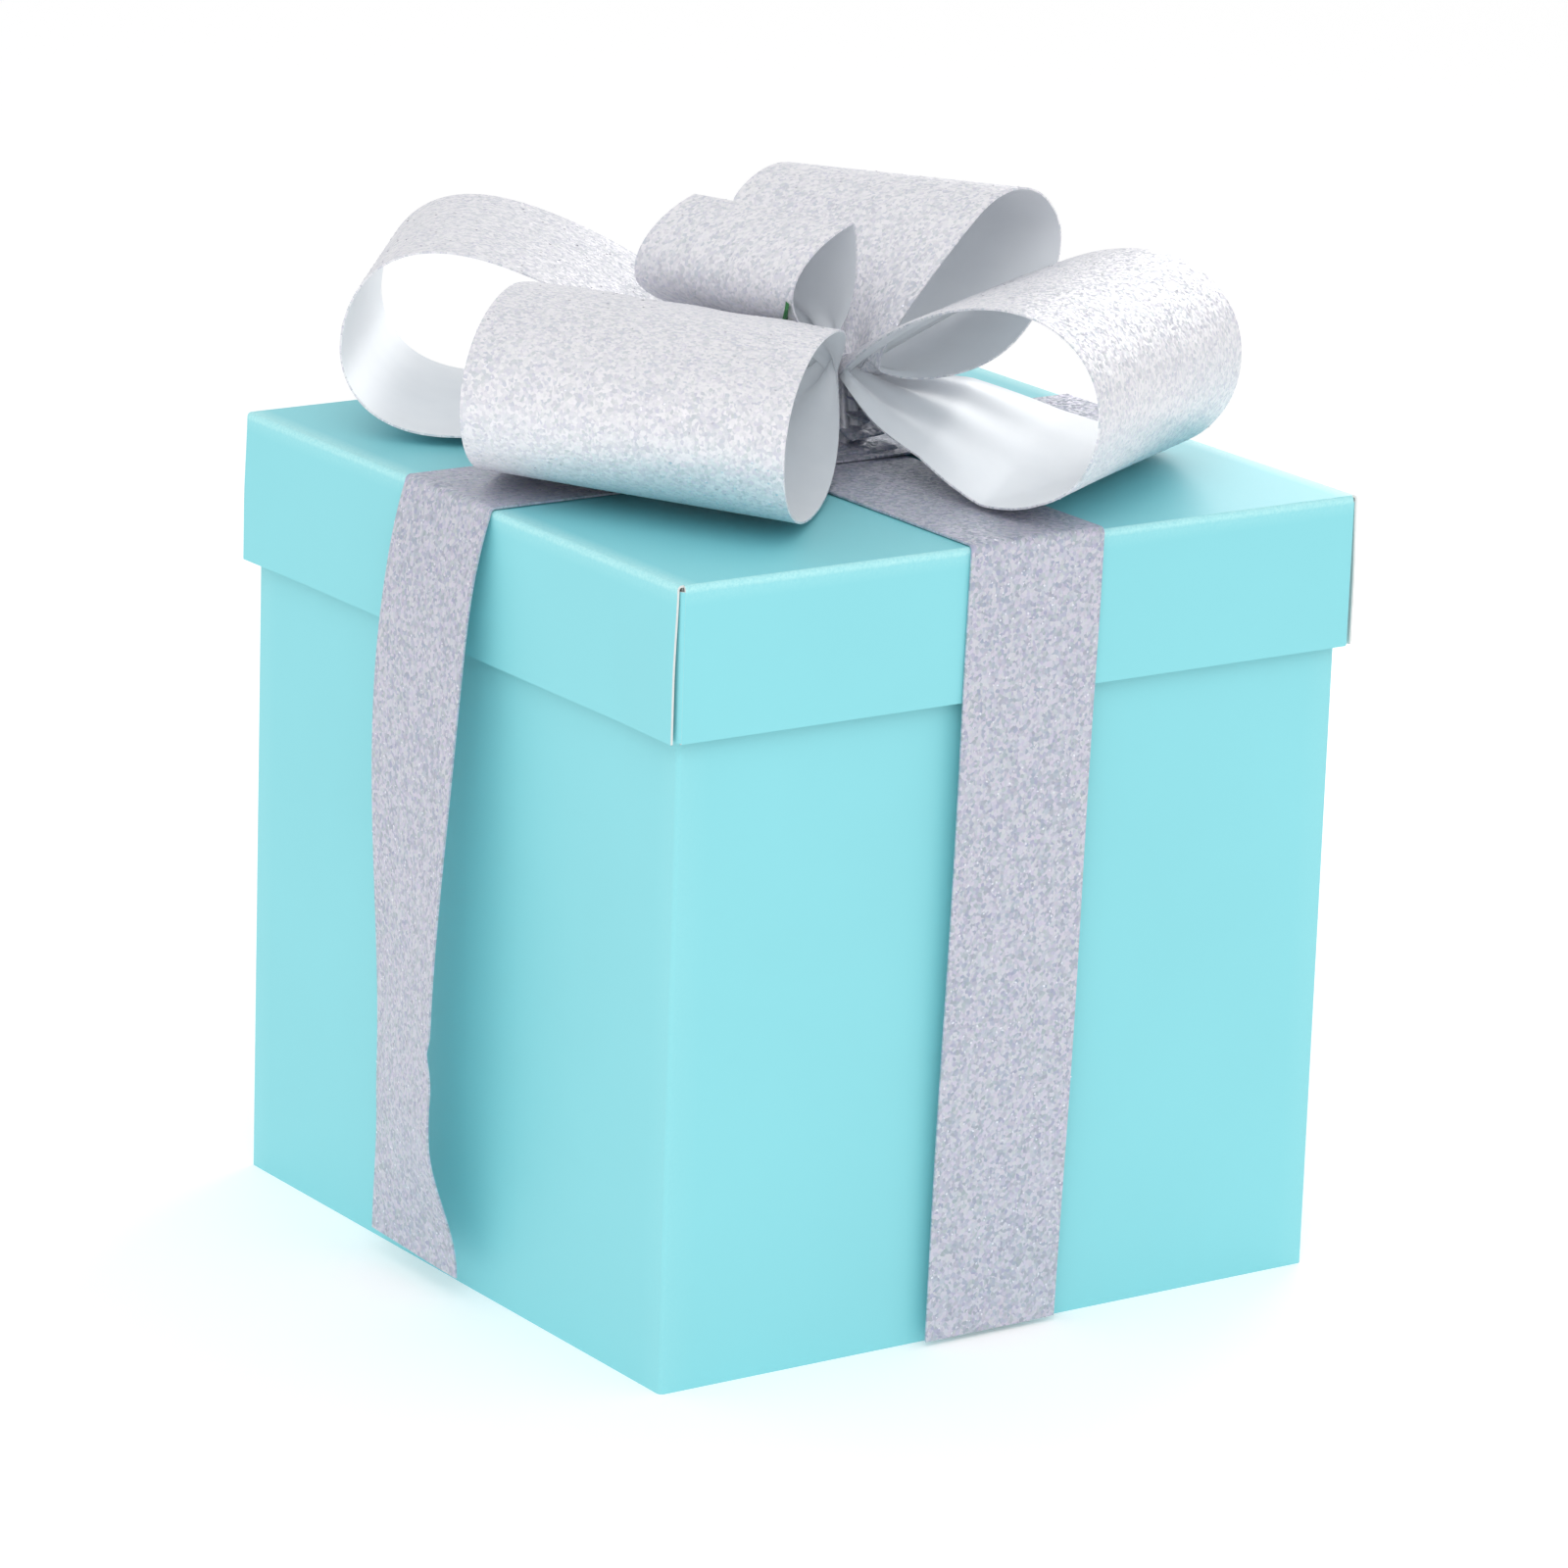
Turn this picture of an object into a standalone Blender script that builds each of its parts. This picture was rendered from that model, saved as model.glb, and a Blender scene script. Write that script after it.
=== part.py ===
"""Gift box: folding paperboard base, lift-off lid, crossed ribbon with four hanging falls, and a looped bow.

Metres, +Z up. The origin is the centre of the base's underside. -Y is the front, +X the right.
"""
from dataclasses import dataclass
from math import cos, exp, pi, radians, sin

import bpy
from mathutils import Vector

# ---------------------------------------------------------------- driving dimensions

BOARD = 0.0006                 # paperboard thickness
GAP = 0.0003                   # clearance between neighbouring pieces
BASE_HALF = 0.0996             # half the base's outer width
LID_PLAY = 0.0005              # clearance between the base walls and the lid's rolled liners
HEIGHT = 0.2053                # floor to the lid's top face
SKIRT = 0.0391                 # depth of the lid's skirt
RIBBON = 0.0006                # thickness of the ribbon
BAND_WIDTH = 0.040             # width of the ribbon round the box
BAND_X = 0.0020                # where the front-back band's middle lies across the lid
BAND_Y = 0.0014                # where the left-right band's middle lies across the lid
BOW_WIDTH = 0.0853             # width of the ribbon in the bow
GLUE_FLAP = 0.015              # width of the base's glue flap
FLOOR_LAP = 0.040              # how far each major floor flap passes the middle
FLOOR_MINOR = 0.055            # length of each minor floor flap
CORNER_TAB = 0.032             # length of the lid's corner tabs
FALL_CLEARANCE = 0.0008        # how far the falls stop above the ground

# ---------------------------------------------------------------- derived dimensions

LID_HALF = BASE_HALF + LID_PLAY + 3 * BOARD + 2 * GAP
LID_UNDER = HEIGHT - BOARD                     # underside of the lid's top panel
BASE_HEIGHT = LID_UNDER - GAP
SKIRT_BOTTOM = HEIGHT - SKIRT
SKIRT_TOP = LID_UNDER - GAP
BAND_LOW = HEIGHT + GAP                        # underside of the first ribbon band
BAND_STEP = RIBBON + GAP                       # rise of the second band where it crosses the first
FALL_PLANE = LID_HALF + GAP + RIBBON / 2       # middle of a fall's thickness, out from the centre
HINGE_Z = BAND_LOW + RIBBON / 2                # height of the fold where a band becomes a fall
GATHER_BASE = BAND_LOW + 2 * BAND_STEP         # underside of the bow's gathered middle
PINCH_Z = HEIGHT + 0.022                       # height of the tie that pinches the bow
GATHER = Vector((0.0135, 0.0, PINCH_Z))        # middle of the pinch


@dataclass(frozen=True)
class Fall:
    """One hanging end of the ribbon: which side it hangs on and how it stands off the wall."""

    name: str
    side: Vector               # outward direction
    across: Vector             # direction of the ribbon's width
    middle: float              # where the ribbon's middle crosses the lid's edge, along 'across'
    stand_off: float           # how far the middle hangs clear of the lid's skirt
    tuck: float                # how much of that it loses again at the bottom
    twist: float               # turn about the vertical near the bottom, degrees
    lean: float                # sideways drift from top to bottom


FALLS = (
    Fall("ribbon_fall_front", Vector((0, -1, 0)), Vector((1, 0, 0)), BAND_X, 0.0004, 0.0, 0.0, -0.005),
    Fall("ribbon_fall_right", Vector((1, 0, 0)), Vector((0, 1, 0)), BAND_Y, 0.0030, 0.001, -4.0, 0.002),
    Fall("ribbon_fall_back", Vector((0, 1, 0)), Vector((-1, 0, 0)), -BAND_X, 0.0020, 0.001, 3.0, 0.002),
    Fall("ribbon_fall_left", Vector((-1, 0, 0)), Vector((0, -1, 0)), -BAND_Y, 0.0102, 0.0045, 12.0, 0.0),
)


@dataclass(frozen=True)
class Loop:
    """One loop of the bow: a strip that leaves the pinch, turns at its tip and comes back below."""

    name: str
    azimuth: float             # direction of the tip in plan, degrees from +X
    lift: float                # angle of the tip above the horizontal, degrees
    reach: float               # length from the pinch to the tip
    rise: float                # greatest height of the upper run above the loop's axis
    drop: float                # greatest depth of the lower run below it
    roll: float                # turn about the loop's axis, degrees
    skew: float                # how far the ribbon's width leans along the axis
    round_tip: float           # higher values keep the two runs together for longer
    side_shift: float          # where the pinch sits across the width, -1 to 1
    width: float               # width of the ribbon
    pinched: float             # share of the width left at the pinch
    foot: Vector               # where this loop leaves the pinch, from its middle


LOOPS = (
    Loop("bow_loop_left", 225.1, 2.4, 0.1179, 0.0202, 0.0241, -1.7, 0.293, 0.53, -0.763,
         BOW_WIDTH, 0.091, Vector((-0.0073, -0.0024, 0.0013))),
    Loop("bow_loop_back_left", 140.4, 2.8, 0.1188, 0.0257, 0.0216, 1.3, -0.029, 2.6, -0.40,
         BOW_WIDTH, 0.054, Vector((-0.0041, 0.0075, -0.0025))),
    Loop("bow_loop_front", 273.5, 7.7, 0.1120, 0.0218, 0.0270, 2.9, -0.536, 0.98, 0.66,
         BOW_WIDTH, 0.076, Vector((0.0004, -0.0010, -0.0007))),
    Loop("bow_loop_back_right", 21.3, 27.3, 0.0662, 0.0225, 0.0163, -3.2, -0.002, 0.30, 0.425,
         0.0753, 0.276, Vector((0.0010, -0.0002, 0.0006))),
    Loop("bow_loop_upright", 233.2, 70.0, 0.0352, 0.0020, 0.0218, -40.0, 0.270, 0.74, -0.824,
         0.0550, 0.050, Vector((-0.0026, 0.0007, 0.0067))),
)

LOOP_STATIONS = 30             # faces along a loop
LOOP_COLUMNS = 4               # faces across a loop
LOOP_START = 0.0105            # distance from the loop's foot to where its strip is cut
FALL_STATIONS = 22
FALL_COLUMNS = 3

AQUA = ("aqua_board", (0.29, 0.76, 0.80), 0.62, 0.0)
AQUA_INSIDE = ("white_board", (0.82, 0.84, 0.83), 0.75, 0.0)
GLITTER = ("glitter_ribbon", (0.66, 0.66, 0.72), 0.38, 0.35)
GREEN = ("tie_green", (0.02, 0.09, 0.025), 0.55, 0.0)


# ---------------------------------------------------------------- helpers

def clear_scene():
    """Removes every object so that the file holds the gift box alone."""
    for item in list(bpy.data.objects):
        bpy.data.objects.remove(item, do_unlink=True)


def material(spec):
    """Returns the Principled material for a (name, colour, roughness, metallic) tuple."""
    name, colour, roughness, metallic = spec
    found = bpy.data.materials.get(name)
    if found:
        return found
    made = bpy.data.materials.new(name)
    made.use_nodes = True
    shader = made.node_tree.nodes["Principled BSDF"]
    shader.inputs["Base Color"].default_value = (*colour, 1.0)
    shader.inputs["Roughness"].default_value = roughness
    shader.inputs["Metallic"].default_value = metallic
    return made


def add_mesh(name, points, faces, spec, origin=(0, 0, 0), parent=None):
    """Adds a mesh object whose points are given in the world and whose origin is set."""
    home = Vector(origin)
    mesh = bpy.data.meshes.new(name)
    mesh.from_pydata([Vector(p) - home for p in points], [], faces)
    mesh.materials.append(material(spec))
    item = bpy.data.objects.new(name, mesh)
    item.location = home
    if parent:
        item.parent = parent
        item.location = home - parent.location
    bpy.context.scene.collection.objects.link(item)
    return item


def add_block(name, low, high, spec, parent=None):
    """Adds a rectangular panel between two opposite corners."""
    x, y, z = zip(low, high)
    points = [(x[i & 1], y[(i >> 1) & 1], z[(i >> 2) & 1]) for i in range(8)]
    faces = [(0, 2, 3, 1), (4, 5, 7, 6), (0, 1, 5, 4), (2, 6, 7, 3), (0, 4, 6, 2), (1, 3, 7, 5)]
    return add_mesh(name, points, faces, spec, parent=parent)


def add_prism(name, outline, along, thickness, spec, parent=None):
    """Adds a flat plate: an outline of points, made thick in the direction 'along'."""
    shift = Vector(along).normalized() * thickness
    lower = [Vector(p) for p in outline]
    facing = sum((p.cross(q) for p, q in zip(lower, lower[1:] + lower[:1])), Vector())
    if facing.dot(shift) < 0:
        lower.reverse()
    upper = [p + shift for p in lower]
    count = len(outline)
    faces = [tuple(reversed(range(count))), tuple(range(count, 2 * count))]
    for i in range(count):
        j = (i + 1) % count
        faces.append((i, j, count + j, count + i))
    return add_mesh(name, lower + upper, faces, spec, parent=parent)


def add_strip(name, rows, thickness, spec, origin=(0, 0, 0), parent=None):
    """Adds a closed strip of even thickness round a grid of middle points, rows[i][j]."""
    count, columns = len(rows), len(rows[0])
    sides = ([], [])
    for i, row in enumerate(rows):
        for j, point in enumerate(row):
            along = rows[min(i + 1, count - 1)][j] - rows[max(i - 1, 0)][j]
            across = row[min(j + 1, columns - 1)] - row[max(j - 1, 0)]
            normal = along.cross(across).normalized() * thickness / 2
            sides[0].append(point + normal)
            sides[1].append(point - normal)
    total = count * columns

    def at(i, j, side):
        return side * total + i * columns + j

    faces = []
    for i in range(count - 1):
        for j in range(columns - 1):
            faces.append((at(i, j, 0), at(i + 1, j, 0), at(i + 1, j + 1, 0), at(i, j + 1, 0)))
            faces.append((at(i, j, 1), at(i, j + 1, 1), at(i + 1, j + 1, 1), at(i + 1, j, 1)))
        last = columns - 1
        faces.append((at(i, 0, 0), at(i, 0, 1), at(i + 1, 0, 1), at(i + 1, 0, 0)))
        faces.append((at(i, last, 0), at(i + 1, last, 0), at(i + 1, last, 1), at(i, last, 1)))
    for j in range(columns - 1):
        end = count - 1
        faces.append((at(0, j, 0), at(0, j + 1, 0), at(0, j + 1, 1), at(0, j, 1)))
        faces.append((at(end, j, 0), at(end, j, 1), at(end, j + 1, 1), at(end, j + 1, 0)))
    item = add_mesh(name, sides[0] + sides[1], faces, spec, origin, parent)
    item.data.shade_smooth()
    item.data.set_sharp_from_angle(angle=radians(40))
    return item


def smooth_step(value):
    """Eases from 0 to 1."""
    value = min(max(value, 0.0), 1.0)
    return value * value * (3 - 2 * value)


# ---------------------------------------------------------------- base

def build_base():
    """Four walls of one creased blank, its glue flap and the four floor flaps."""
    outer, inner = BASE_HALF, BASE_HALF - BOARD
    side = inner - GAP
    add_block("base_wall_front", (-outer, -outer, 0), (outer, -inner, BASE_HEIGHT), AQUA)
    add_block("base_wall_back", (-outer, inner, 0), (outer, outer, BASE_HEIGHT), AQUA)
    add_block("base_wall_left", (-outer, -side, 0), (-inner, side, BASE_HEIGHT), AQUA)
    add_block("base_wall_right", (inner, -side, 0), (outer, side, BASE_HEIGHT), AQUA)
    build_glue_flap(side)
    build_floor(side)


def build_glue_flap(side):
    """A flap glued inside the right wall at the back corner, its ends cut at a slant."""
    low, high, slant = 0.006, BASE_HEIGHT - 0.004, 0.010
    outline = [
        (side - BOARD, side - GLUE_FLAP, low + slant),
        (side - BOARD, side, low),
        (side - BOARD, side, high),
        (side - BOARD, side - GLUE_FLAP, high - slant),
    ]
    add_prism("base_glue_flap", outline, (1, 0, 0), BOARD, AQUA_INSIDE)


def build_floor(side):
    """Major flaps from the front and back overlap in the middle, with the minor flaps over them."""
    chamfer = 0.012
    layer = BOARD + GAP
    for name, sign, low in (("front", -1, 0.0), ("back", 1, layer)):
        reach = -sign * FLOOR_LAP
        outline = [
            (sign * side, sign * side, low),
            (-sign * side, sign * side, low),
            (-sign * side, reach + sign * chamfer, low),
            (-sign * (side - chamfer), reach, low),
            (sign * (side - chamfer), reach, low),
            (sign * side, reach + sign * chamfer, low),
        ]
        add_prism("base_floor_flap_" + name, outline, (0, 0, 1), BOARD, AQUA_INSIDE)
    low = 2 * layer
    for name, sign in (("left", -1), ("right", 1)):
        root, tip = sign * side, sign * (side - FLOOR_MINOR)
        half = side - GAP - BOARD - GAP
        outline = [
            (root, -half, low),
            (root, half, low),
            (tip, half - 2 * chamfer, low),
            (tip, -half + 2 * chamfer, low),
        ]
        add_prism("base_floor_flap_" + name, outline, (0, 0, 1), BOARD, AQUA_INSIDE)


# ---------------------------------------------------------------- lid

def build_lid():
    """The top panel, four skirt panels, two rolled-in liners and the corner tabs between them."""
    outer, inner = LID_HALF, LID_HALF - BOARD
    side = inner - GAP
    lid = bpy.data.objects.new("lid_rig", None)
    bpy.context.scene.collection.objects.link(lid)
    add_block("lid_top_panel", (-outer, -outer, LID_UNDER), (outer, outer, HEIGHT), AQUA, lid)
    low, high = SKIRT_BOTTOM, SKIRT_TOP
    add_block("lid_skirt_left", (-outer, -outer, low), (-inner, outer, high), AQUA, lid)
    add_block("lid_skirt_right", (inner, -outer, low), (outer, outer, high), AQUA, lid)
    add_block("lid_skirt_front", (-side, -outer, low), (side, -inner, high), AQUA, lid)
    add_block("lid_skirt_back", (-side, inner, low), (side, outer, high), AQUA, lid)
    liner_outer = inner - 2 * GAP - BOARD
    liner_side = side - BOARD
    for name, sign in (("left", -1), ("right", 1)):
        faces = sorted((sign * liner_outer, sign * (liner_outer - BOARD)))
        add_block("lid_liner_" + name, (faces[0], -liner_side, low), (faces[1], liner_side, high),
                  AQUA_INSIDE, lid)
    for front_back, y_sign in (("front", -1), ("back", 1)):
        for left_right, x_sign in (("left", -1), ("right", 1)):
            build_corner_tab(f"lid_corner_tab_{front_back}_{left_right}", x_sign, y_sign, side, lid)


def build_corner_tab(name, x_sign, y_sign, side, lid):
    """A tapered tab folded from the front or back skirt, lying between a side skirt and its liner."""
    taper = 0.006
    root, tip = y_sign * side, y_sign * (side - CORNER_TAB)
    low, high = SKIRT_BOTTOM + BOARD, SKIRT_TOP - BOARD
    face = x_sign * side
    outline = [(face, root, low), (face, root, high), (face, tip, high - taper), (face, tip, low + taper)]
    add_prism(name, outline, (-x_sign, 0, 0), BOARD, AQUA_INSIDE, lid)


# ---------------------------------------------------------------- ribbon round the box

def build_bands(harness):
    """Two bands cross on the lid, the left-right one stepping over the other."""
    half = BAND_WIDTH / 2
    add_block("ribbon_band_front_back", (BAND_X - half, -LID_HALF, BAND_LOW),
              (BAND_X + half, LID_HALF, BAND_LOW + RIBBON), GLITTER, harness)
    flat, ramp = half + 0.0015, half + 0.0085
    steps = [-ramp, -(ramp + flat) / 2, -flat, 0.0, flat, (ramp + flat) / 2, ramp]
    rows = []
    for x in (-LID_HALF, *(BAND_X + step for step in steps), LID_HALF):
        lifted = BAND_STEP * smooth_step((ramp - abs(x - BAND_X)) / (ramp - flat))
        height = BAND_LOW + RIBBON / 2 + lifted
        rows.append([Vector((x, BAND_Y + side, height)) for side in (half, 0.0, -half)])
    add_strip("ribbon_band_left_right", rows, RIBBON, GLITTER, parent=harness)


def fall_point(fall, share, across):
    """The middle of a fall's thickness at a share of its length and a place across its width."""
    drop = (HINGE_Z - FALL_CLEARANCE) * share
    out = fall.stand_off * (1 - exp(-drop / 0.030)) - fall.tuck * smooth_step((share - 0.80) / 0.20)
    turn = radians(fall.twist) * smooth_step((share - 0.15) / 0.6) * (1 - smooth_step((share - 0.82) / 0.18))
    sideways = fall.middle + fall.lean * share + across * BAND_WIDTH / 2 * cos(turn)
    out += across * BAND_WIDTH / 2 * sin(turn)
    reach = FALL_PLANE + max(out, 0.0)
    return fall.side * reach + fall.across * sideways + Vector((0, 0, HINGE_Z - drop))


def build_falls(harness):
    """Each fall hangs from the fold at the lid's edge, and its origin is on that fold."""
    for fall in FALLS:
        rows = []
        for i in range(FALL_STATIONS + 1):
            share = (i / FALL_STATIONS) ** 1.25
            places = [2 * j / FALL_COLUMNS - 1 for j in range(FALL_COLUMNS + 1)]
            rows.append([fall_point(fall, share, place) for place in places])
        hinge = fall.side * FALL_PLANE + Vector((0, 0, HINGE_Z))
        add_strip(fall.name, rows, RIBBON, GLITTER, hinge, harness)


# ---------------------------------------------------------------- bow

def loop_frame(loop):
    """Returns the loop's outward, upward and widthwise directions."""
    azimuth, lift, roll = radians(loop.azimuth), radians(loop.lift), radians(loop.roll)
    outward = Vector((cos(azimuth) * cos(lift), sin(azimuth) * cos(lift), sin(lift)))
    level = Vector((-sin(azimuth), cos(azimuth), 0))
    upright = outward.cross(level)
    widthwise = level * cos(roll) + upright * sin(roll)
    upward = upright * cos(roll) - level * sin(roll)
    return outward, upward, widthwise + outward * loop.skew


def loop_point(loop, share, across):
    """The middle of a loop's thickness at a share of its length and a place across its width."""
    outward, upward, widthwise = loop_frame(loop)
    turn = 2 * pi * share
    peak = max(sin(2 * pi * i / 200) * sin(pi * i / 200) ** loop.round_tip for i in range(1, 100))
    height = loop.rise if share < 0.5 else loop.drop
    height *= sin(turn) * max(sin(pi * share), 0.0) ** loop.round_tip / peak
    spread = loop.pinched + (1 - loop.pinched) * smooth_step(sin(pi * share) / 0.75)
    sideways = (across * spread + loop.side_shift * (spread - loop.pinched)) * loop.width / 2
    middle = GATHER + loop.foot + outward * loop.reach * (1 - cos(turn)) / 2 + upward * height
    return middle + widthwise * sideways


def build_loops(harness):
    """Each loop is one closed strip, cut just short of the gathered middle at both ends."""
    for loop in LOOPS:
        start = 0.01
        while (loop_point(loop, start, 0) - loop_point(loop, 0, 0)).length < LOOP_START:
            start += 0.001
        rows = []
        for i in range(LOOP_STATIONS + 1):
            share = start + (1 - 2 * start) * i / LOOP_STATIONS
            places = [2 * j / LOOP_COLUMNS - 1 for j in range(LOOP_COLUMNS + 1)]
            rows.append([loop_point(loop, share, place) for place in places])
        add_strip(loop.name, rows, RIBBON, GLITTER, parent=harness)


def add_turned(name, centre, profile, sides, wave, spec, harness):
    """Adds a turned shape about a vertical axis whose radius swells in 'wave' pleats."""
    depth, pleats = wave
    points, faces = [], []
    for height, radius in profile:
        for k in range(sides):
            angle = 2 * pi * k / sides
            r = radius * (1 + depth * cos(pleats * angle))
            points.append(centre + Vector((r * cos(angle), r * sin(angle), height)))
    for i in range(len(profile) - 1):
        for k in range(sides):
            n = (k + 1) % sides
            faces.append((i * sides + k, i * sides + n, (i + 1) * sides + n, (i + 1) * sides + k))
    top = (len(profile) - 1) * sides
    faces.append(tuple(reversed(range(sides))))
    faces.append(tuple(range(top, top + sides)))
    return add_mesh(name, points, faces, spec, parent=harness)


def build_gather(harness):
    """The pleated middle of the bow, narrowest where the tie holds it."""
    height = PINCH_Z - GATHER_BASE
    profile = [(GATHER_BASE - PINCH_Z, 0.0085), (-height * 0.55, 0.0060), (-0.003, 0.0034), (0.0035, 0.0032)]
    add_turned("bow_gather", GATHER, profile, 32, (0.16, 8), GLITTER, harness)


def build_tie(harness):
    """The green twist tie: two short twisted ends that stand up out of the pinch."""
    foot = Vector((0.0002, 0.0058, HEIGHT + 0.0252))
    rows = [(0.0, 0.0013), (0.0015, 0.0015), (0.0034, 0.0015), (0.0046, 0.0010)]
    add_turned("twist_tie", foot, rows, 12, (0.10, 2), GREEN, harness)


def build_ribbon():
    """The ribbon harness that lies over the lid, with the bow on it."""
    harness = bpy.data.objects.new("ribbon_rig", None)
    bpy.context.scene.collection.objects.link(harness)
    build_bands(harness)
    build_falls(harness)
    build_gather(harness)
    build_loops(harness)
    build_tie(harness)


def main():
    """Builds the whole gift box."""
    clear_scene()
    build_base()
    build_lid()
    build_ribbon()


main()
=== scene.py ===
"""Looks of a folding paperboard gift box with a crossed glitter ribbon and a looped bow.

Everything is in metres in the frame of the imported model: +Z is up, -Y is the front, and the box stands
on z = 0.
"""

import logging
from dataclasses import dataclass, field
from enum import Enum
from math import cos, pi, radians, sin

import bpy
import numpy as np
from mathutils import Matrix, Vector


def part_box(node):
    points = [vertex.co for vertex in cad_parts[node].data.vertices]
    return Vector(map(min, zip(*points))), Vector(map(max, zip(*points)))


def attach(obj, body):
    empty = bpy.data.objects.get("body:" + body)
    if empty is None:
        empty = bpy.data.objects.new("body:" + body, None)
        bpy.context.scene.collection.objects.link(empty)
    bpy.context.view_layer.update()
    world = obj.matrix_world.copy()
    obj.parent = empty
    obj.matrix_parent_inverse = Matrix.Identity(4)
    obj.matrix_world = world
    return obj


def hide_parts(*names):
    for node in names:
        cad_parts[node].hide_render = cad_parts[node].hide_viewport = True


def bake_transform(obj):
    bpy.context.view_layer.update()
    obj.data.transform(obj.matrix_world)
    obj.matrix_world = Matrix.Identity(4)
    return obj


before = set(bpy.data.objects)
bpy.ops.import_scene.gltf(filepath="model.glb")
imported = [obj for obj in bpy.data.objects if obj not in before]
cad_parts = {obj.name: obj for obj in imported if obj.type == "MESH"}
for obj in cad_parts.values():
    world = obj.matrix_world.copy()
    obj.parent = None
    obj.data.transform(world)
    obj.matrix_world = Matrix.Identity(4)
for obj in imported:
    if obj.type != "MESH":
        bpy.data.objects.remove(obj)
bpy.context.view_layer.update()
LOG = logging.getLogger("gift_box")
MM = 0.001
RIBBON_UV = "ribbon"           # the UV map that holds a ribbon's own width and length, in metres
CREASE = "crease"              # the attribute that is 1 where board is folded: how pale the board is painted there, for crease wear and a painted highlight
WAVE_REPEAT = 2 * pi / 20      # a wave texture of scale 1 repeats at this distance, in metres
CLEAR = 0.3 * MM               # gap left between boards that lie against each other

Colour = tuple[float, float, float, float]


class Side(Enum):
    """The three kinds of face on a thin sheet, in the order of its material slots."""

    OUTER = 0
    INNER = 1
    RIM = 2


class Body(Enum):
    """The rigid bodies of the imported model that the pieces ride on."""

    BASE = "base"
    LID = "lid"
    HARNESS = "harness"


class Slot(Enum):
    """The record's material slots."""

    AQUA = "aqua_board"
    WHITE = "white_board"
    GLITTER = "glitter_ribbon"
    GREEN = "tie_green"


# ---------------------------------------------------------------- helpers

def linear(hex_colour: str) -> Colour:
    """Turns an sRGB hex colour into the linear colour that a shader takes.

    Args:
        hex_colour: Six hex digits, such as "81D8D0".

    Returns:
        Red, green, blue and an alpha of 1, linear.
    """
    parts = [int(hex_colour[i:i + 2], 16) / 255 for i in (0, 2, 4)]
    red, green, blue = (p / 12.92 if p <= 0.04045 else ((p + 0.055) / 1.055) ** 2.4 for p in parts)
    return (red, green, blue, 1.0)


def add_node(tree: bpy.types.NodeTree, kind: str, inputs: dict | None = None, **settings) -> bpy.types.Node:
    """Adds one node with its settings, its values and the links into it.

    Args:
        tree: The shader or geometry tree that gets the node.
        kind: The node's type, such as "ShaderNodeBump".
        inputs: For each input's name or number, a value or another node's output.
        settings: The node's own properties, such as operation="MULTIPLY".

    Returns:
        The new node.
    """
    node = tree.nodes.new(kind)
    for name, value in settings.items():
        setattr(node, name, value)
    for key, value in (inputs or {}).items():
        socket = node.inputs[key]
        if isinstance(value, bpy.types.NodeSocket):
            tree.links.new(value, socket)
        else:
            socket.default_value = value
    return node


def start_material(name: str, on_ribbon: bool = False
                   ) -> tuple[bpy.types.Material, bpy.types.NodeTree, bpy.types.NodeSocket]:
    """Starts a material with the coordinates that its patterns follow.

    Args:
        name: The material's name.
        on_ribbon: True for the ribbon's own UV map, False for the piece's Object coordinates.

    Returns:
        The material, its node tree and the coordinates.
    """
    made = bpy.data.materials.new(name)
    made.use_nodes = True
    tree = made.node_tree
    tree.nodes.clear()
    if on_ribbon:
        return made, tree, add_node(tree, "ShaderNodeUVMap", uv_map=RIBBON_UV).outputs["UV"]
    return made, tree, add_node(tree, "ShaderNodeTexCoord").outputs["Object"]


def add_surface(tree: bpy.types.NodeTree, inputs: dict) -> None:
    """Ends a material's tree with a Principled shader.

    Args:
        tree: The material's node tree.
        inputs: For each of the shader's inputs, a value or another node's output.
    """
    shader = add_node(tree, "ShaderNodeBsdfPrincipled", inputs)
    add_node(tree, "ShaderNodeOutputMaterial", {"Surface": shader.outputs["BSDF"]})


def add_object(name: str, data: bpy.types.ID) -> bpy.types.Object:
    """Returns a new object in the scene that shows the data given."""
    made = bpy.data.objects.new(name, data)
    bpy.context.scene.collection.objects.link(made)
    return made


def add_mesh(name: str, points: list, faces: list, materials: list[bpy.types.Material]) -> bpy.types.Object:
    """Makes a mesh object at the origin.

    Args:
        name: The name of the object and its mesh.
        points: The corners, in metres.
        faces: For each face, the numbers of its corners.
        materials: One material for each slot.

    Returns:
        The new object.
    """
    mesh = bpy.data.meshes.new(name)
    mesh.from_pydata(points, [], faces)
    for material in materials:
        mesh.materials.append(material)
    return add_object(name, mesh)


def shade(mesh: bpy.types.Mesh, sharpest: float = 55.0) -> None:
    """Shades a mesh smooth, but for edges sharper than a number of degrees."""
    mesh.shade_smooth()
    mesh.set_sharp_from_angle(angle=radians(sharpest))


def eased(value: float | np.ndarray) -> float | np.ndarray:
    """Returns a smooth step from 0 to 1 of a value or an array."""
    value = np.clip(value, 0.0, 1.0)
    return value * value * (3 - 2 * value)


# ---------------------------------------------------------------- finishes

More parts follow.
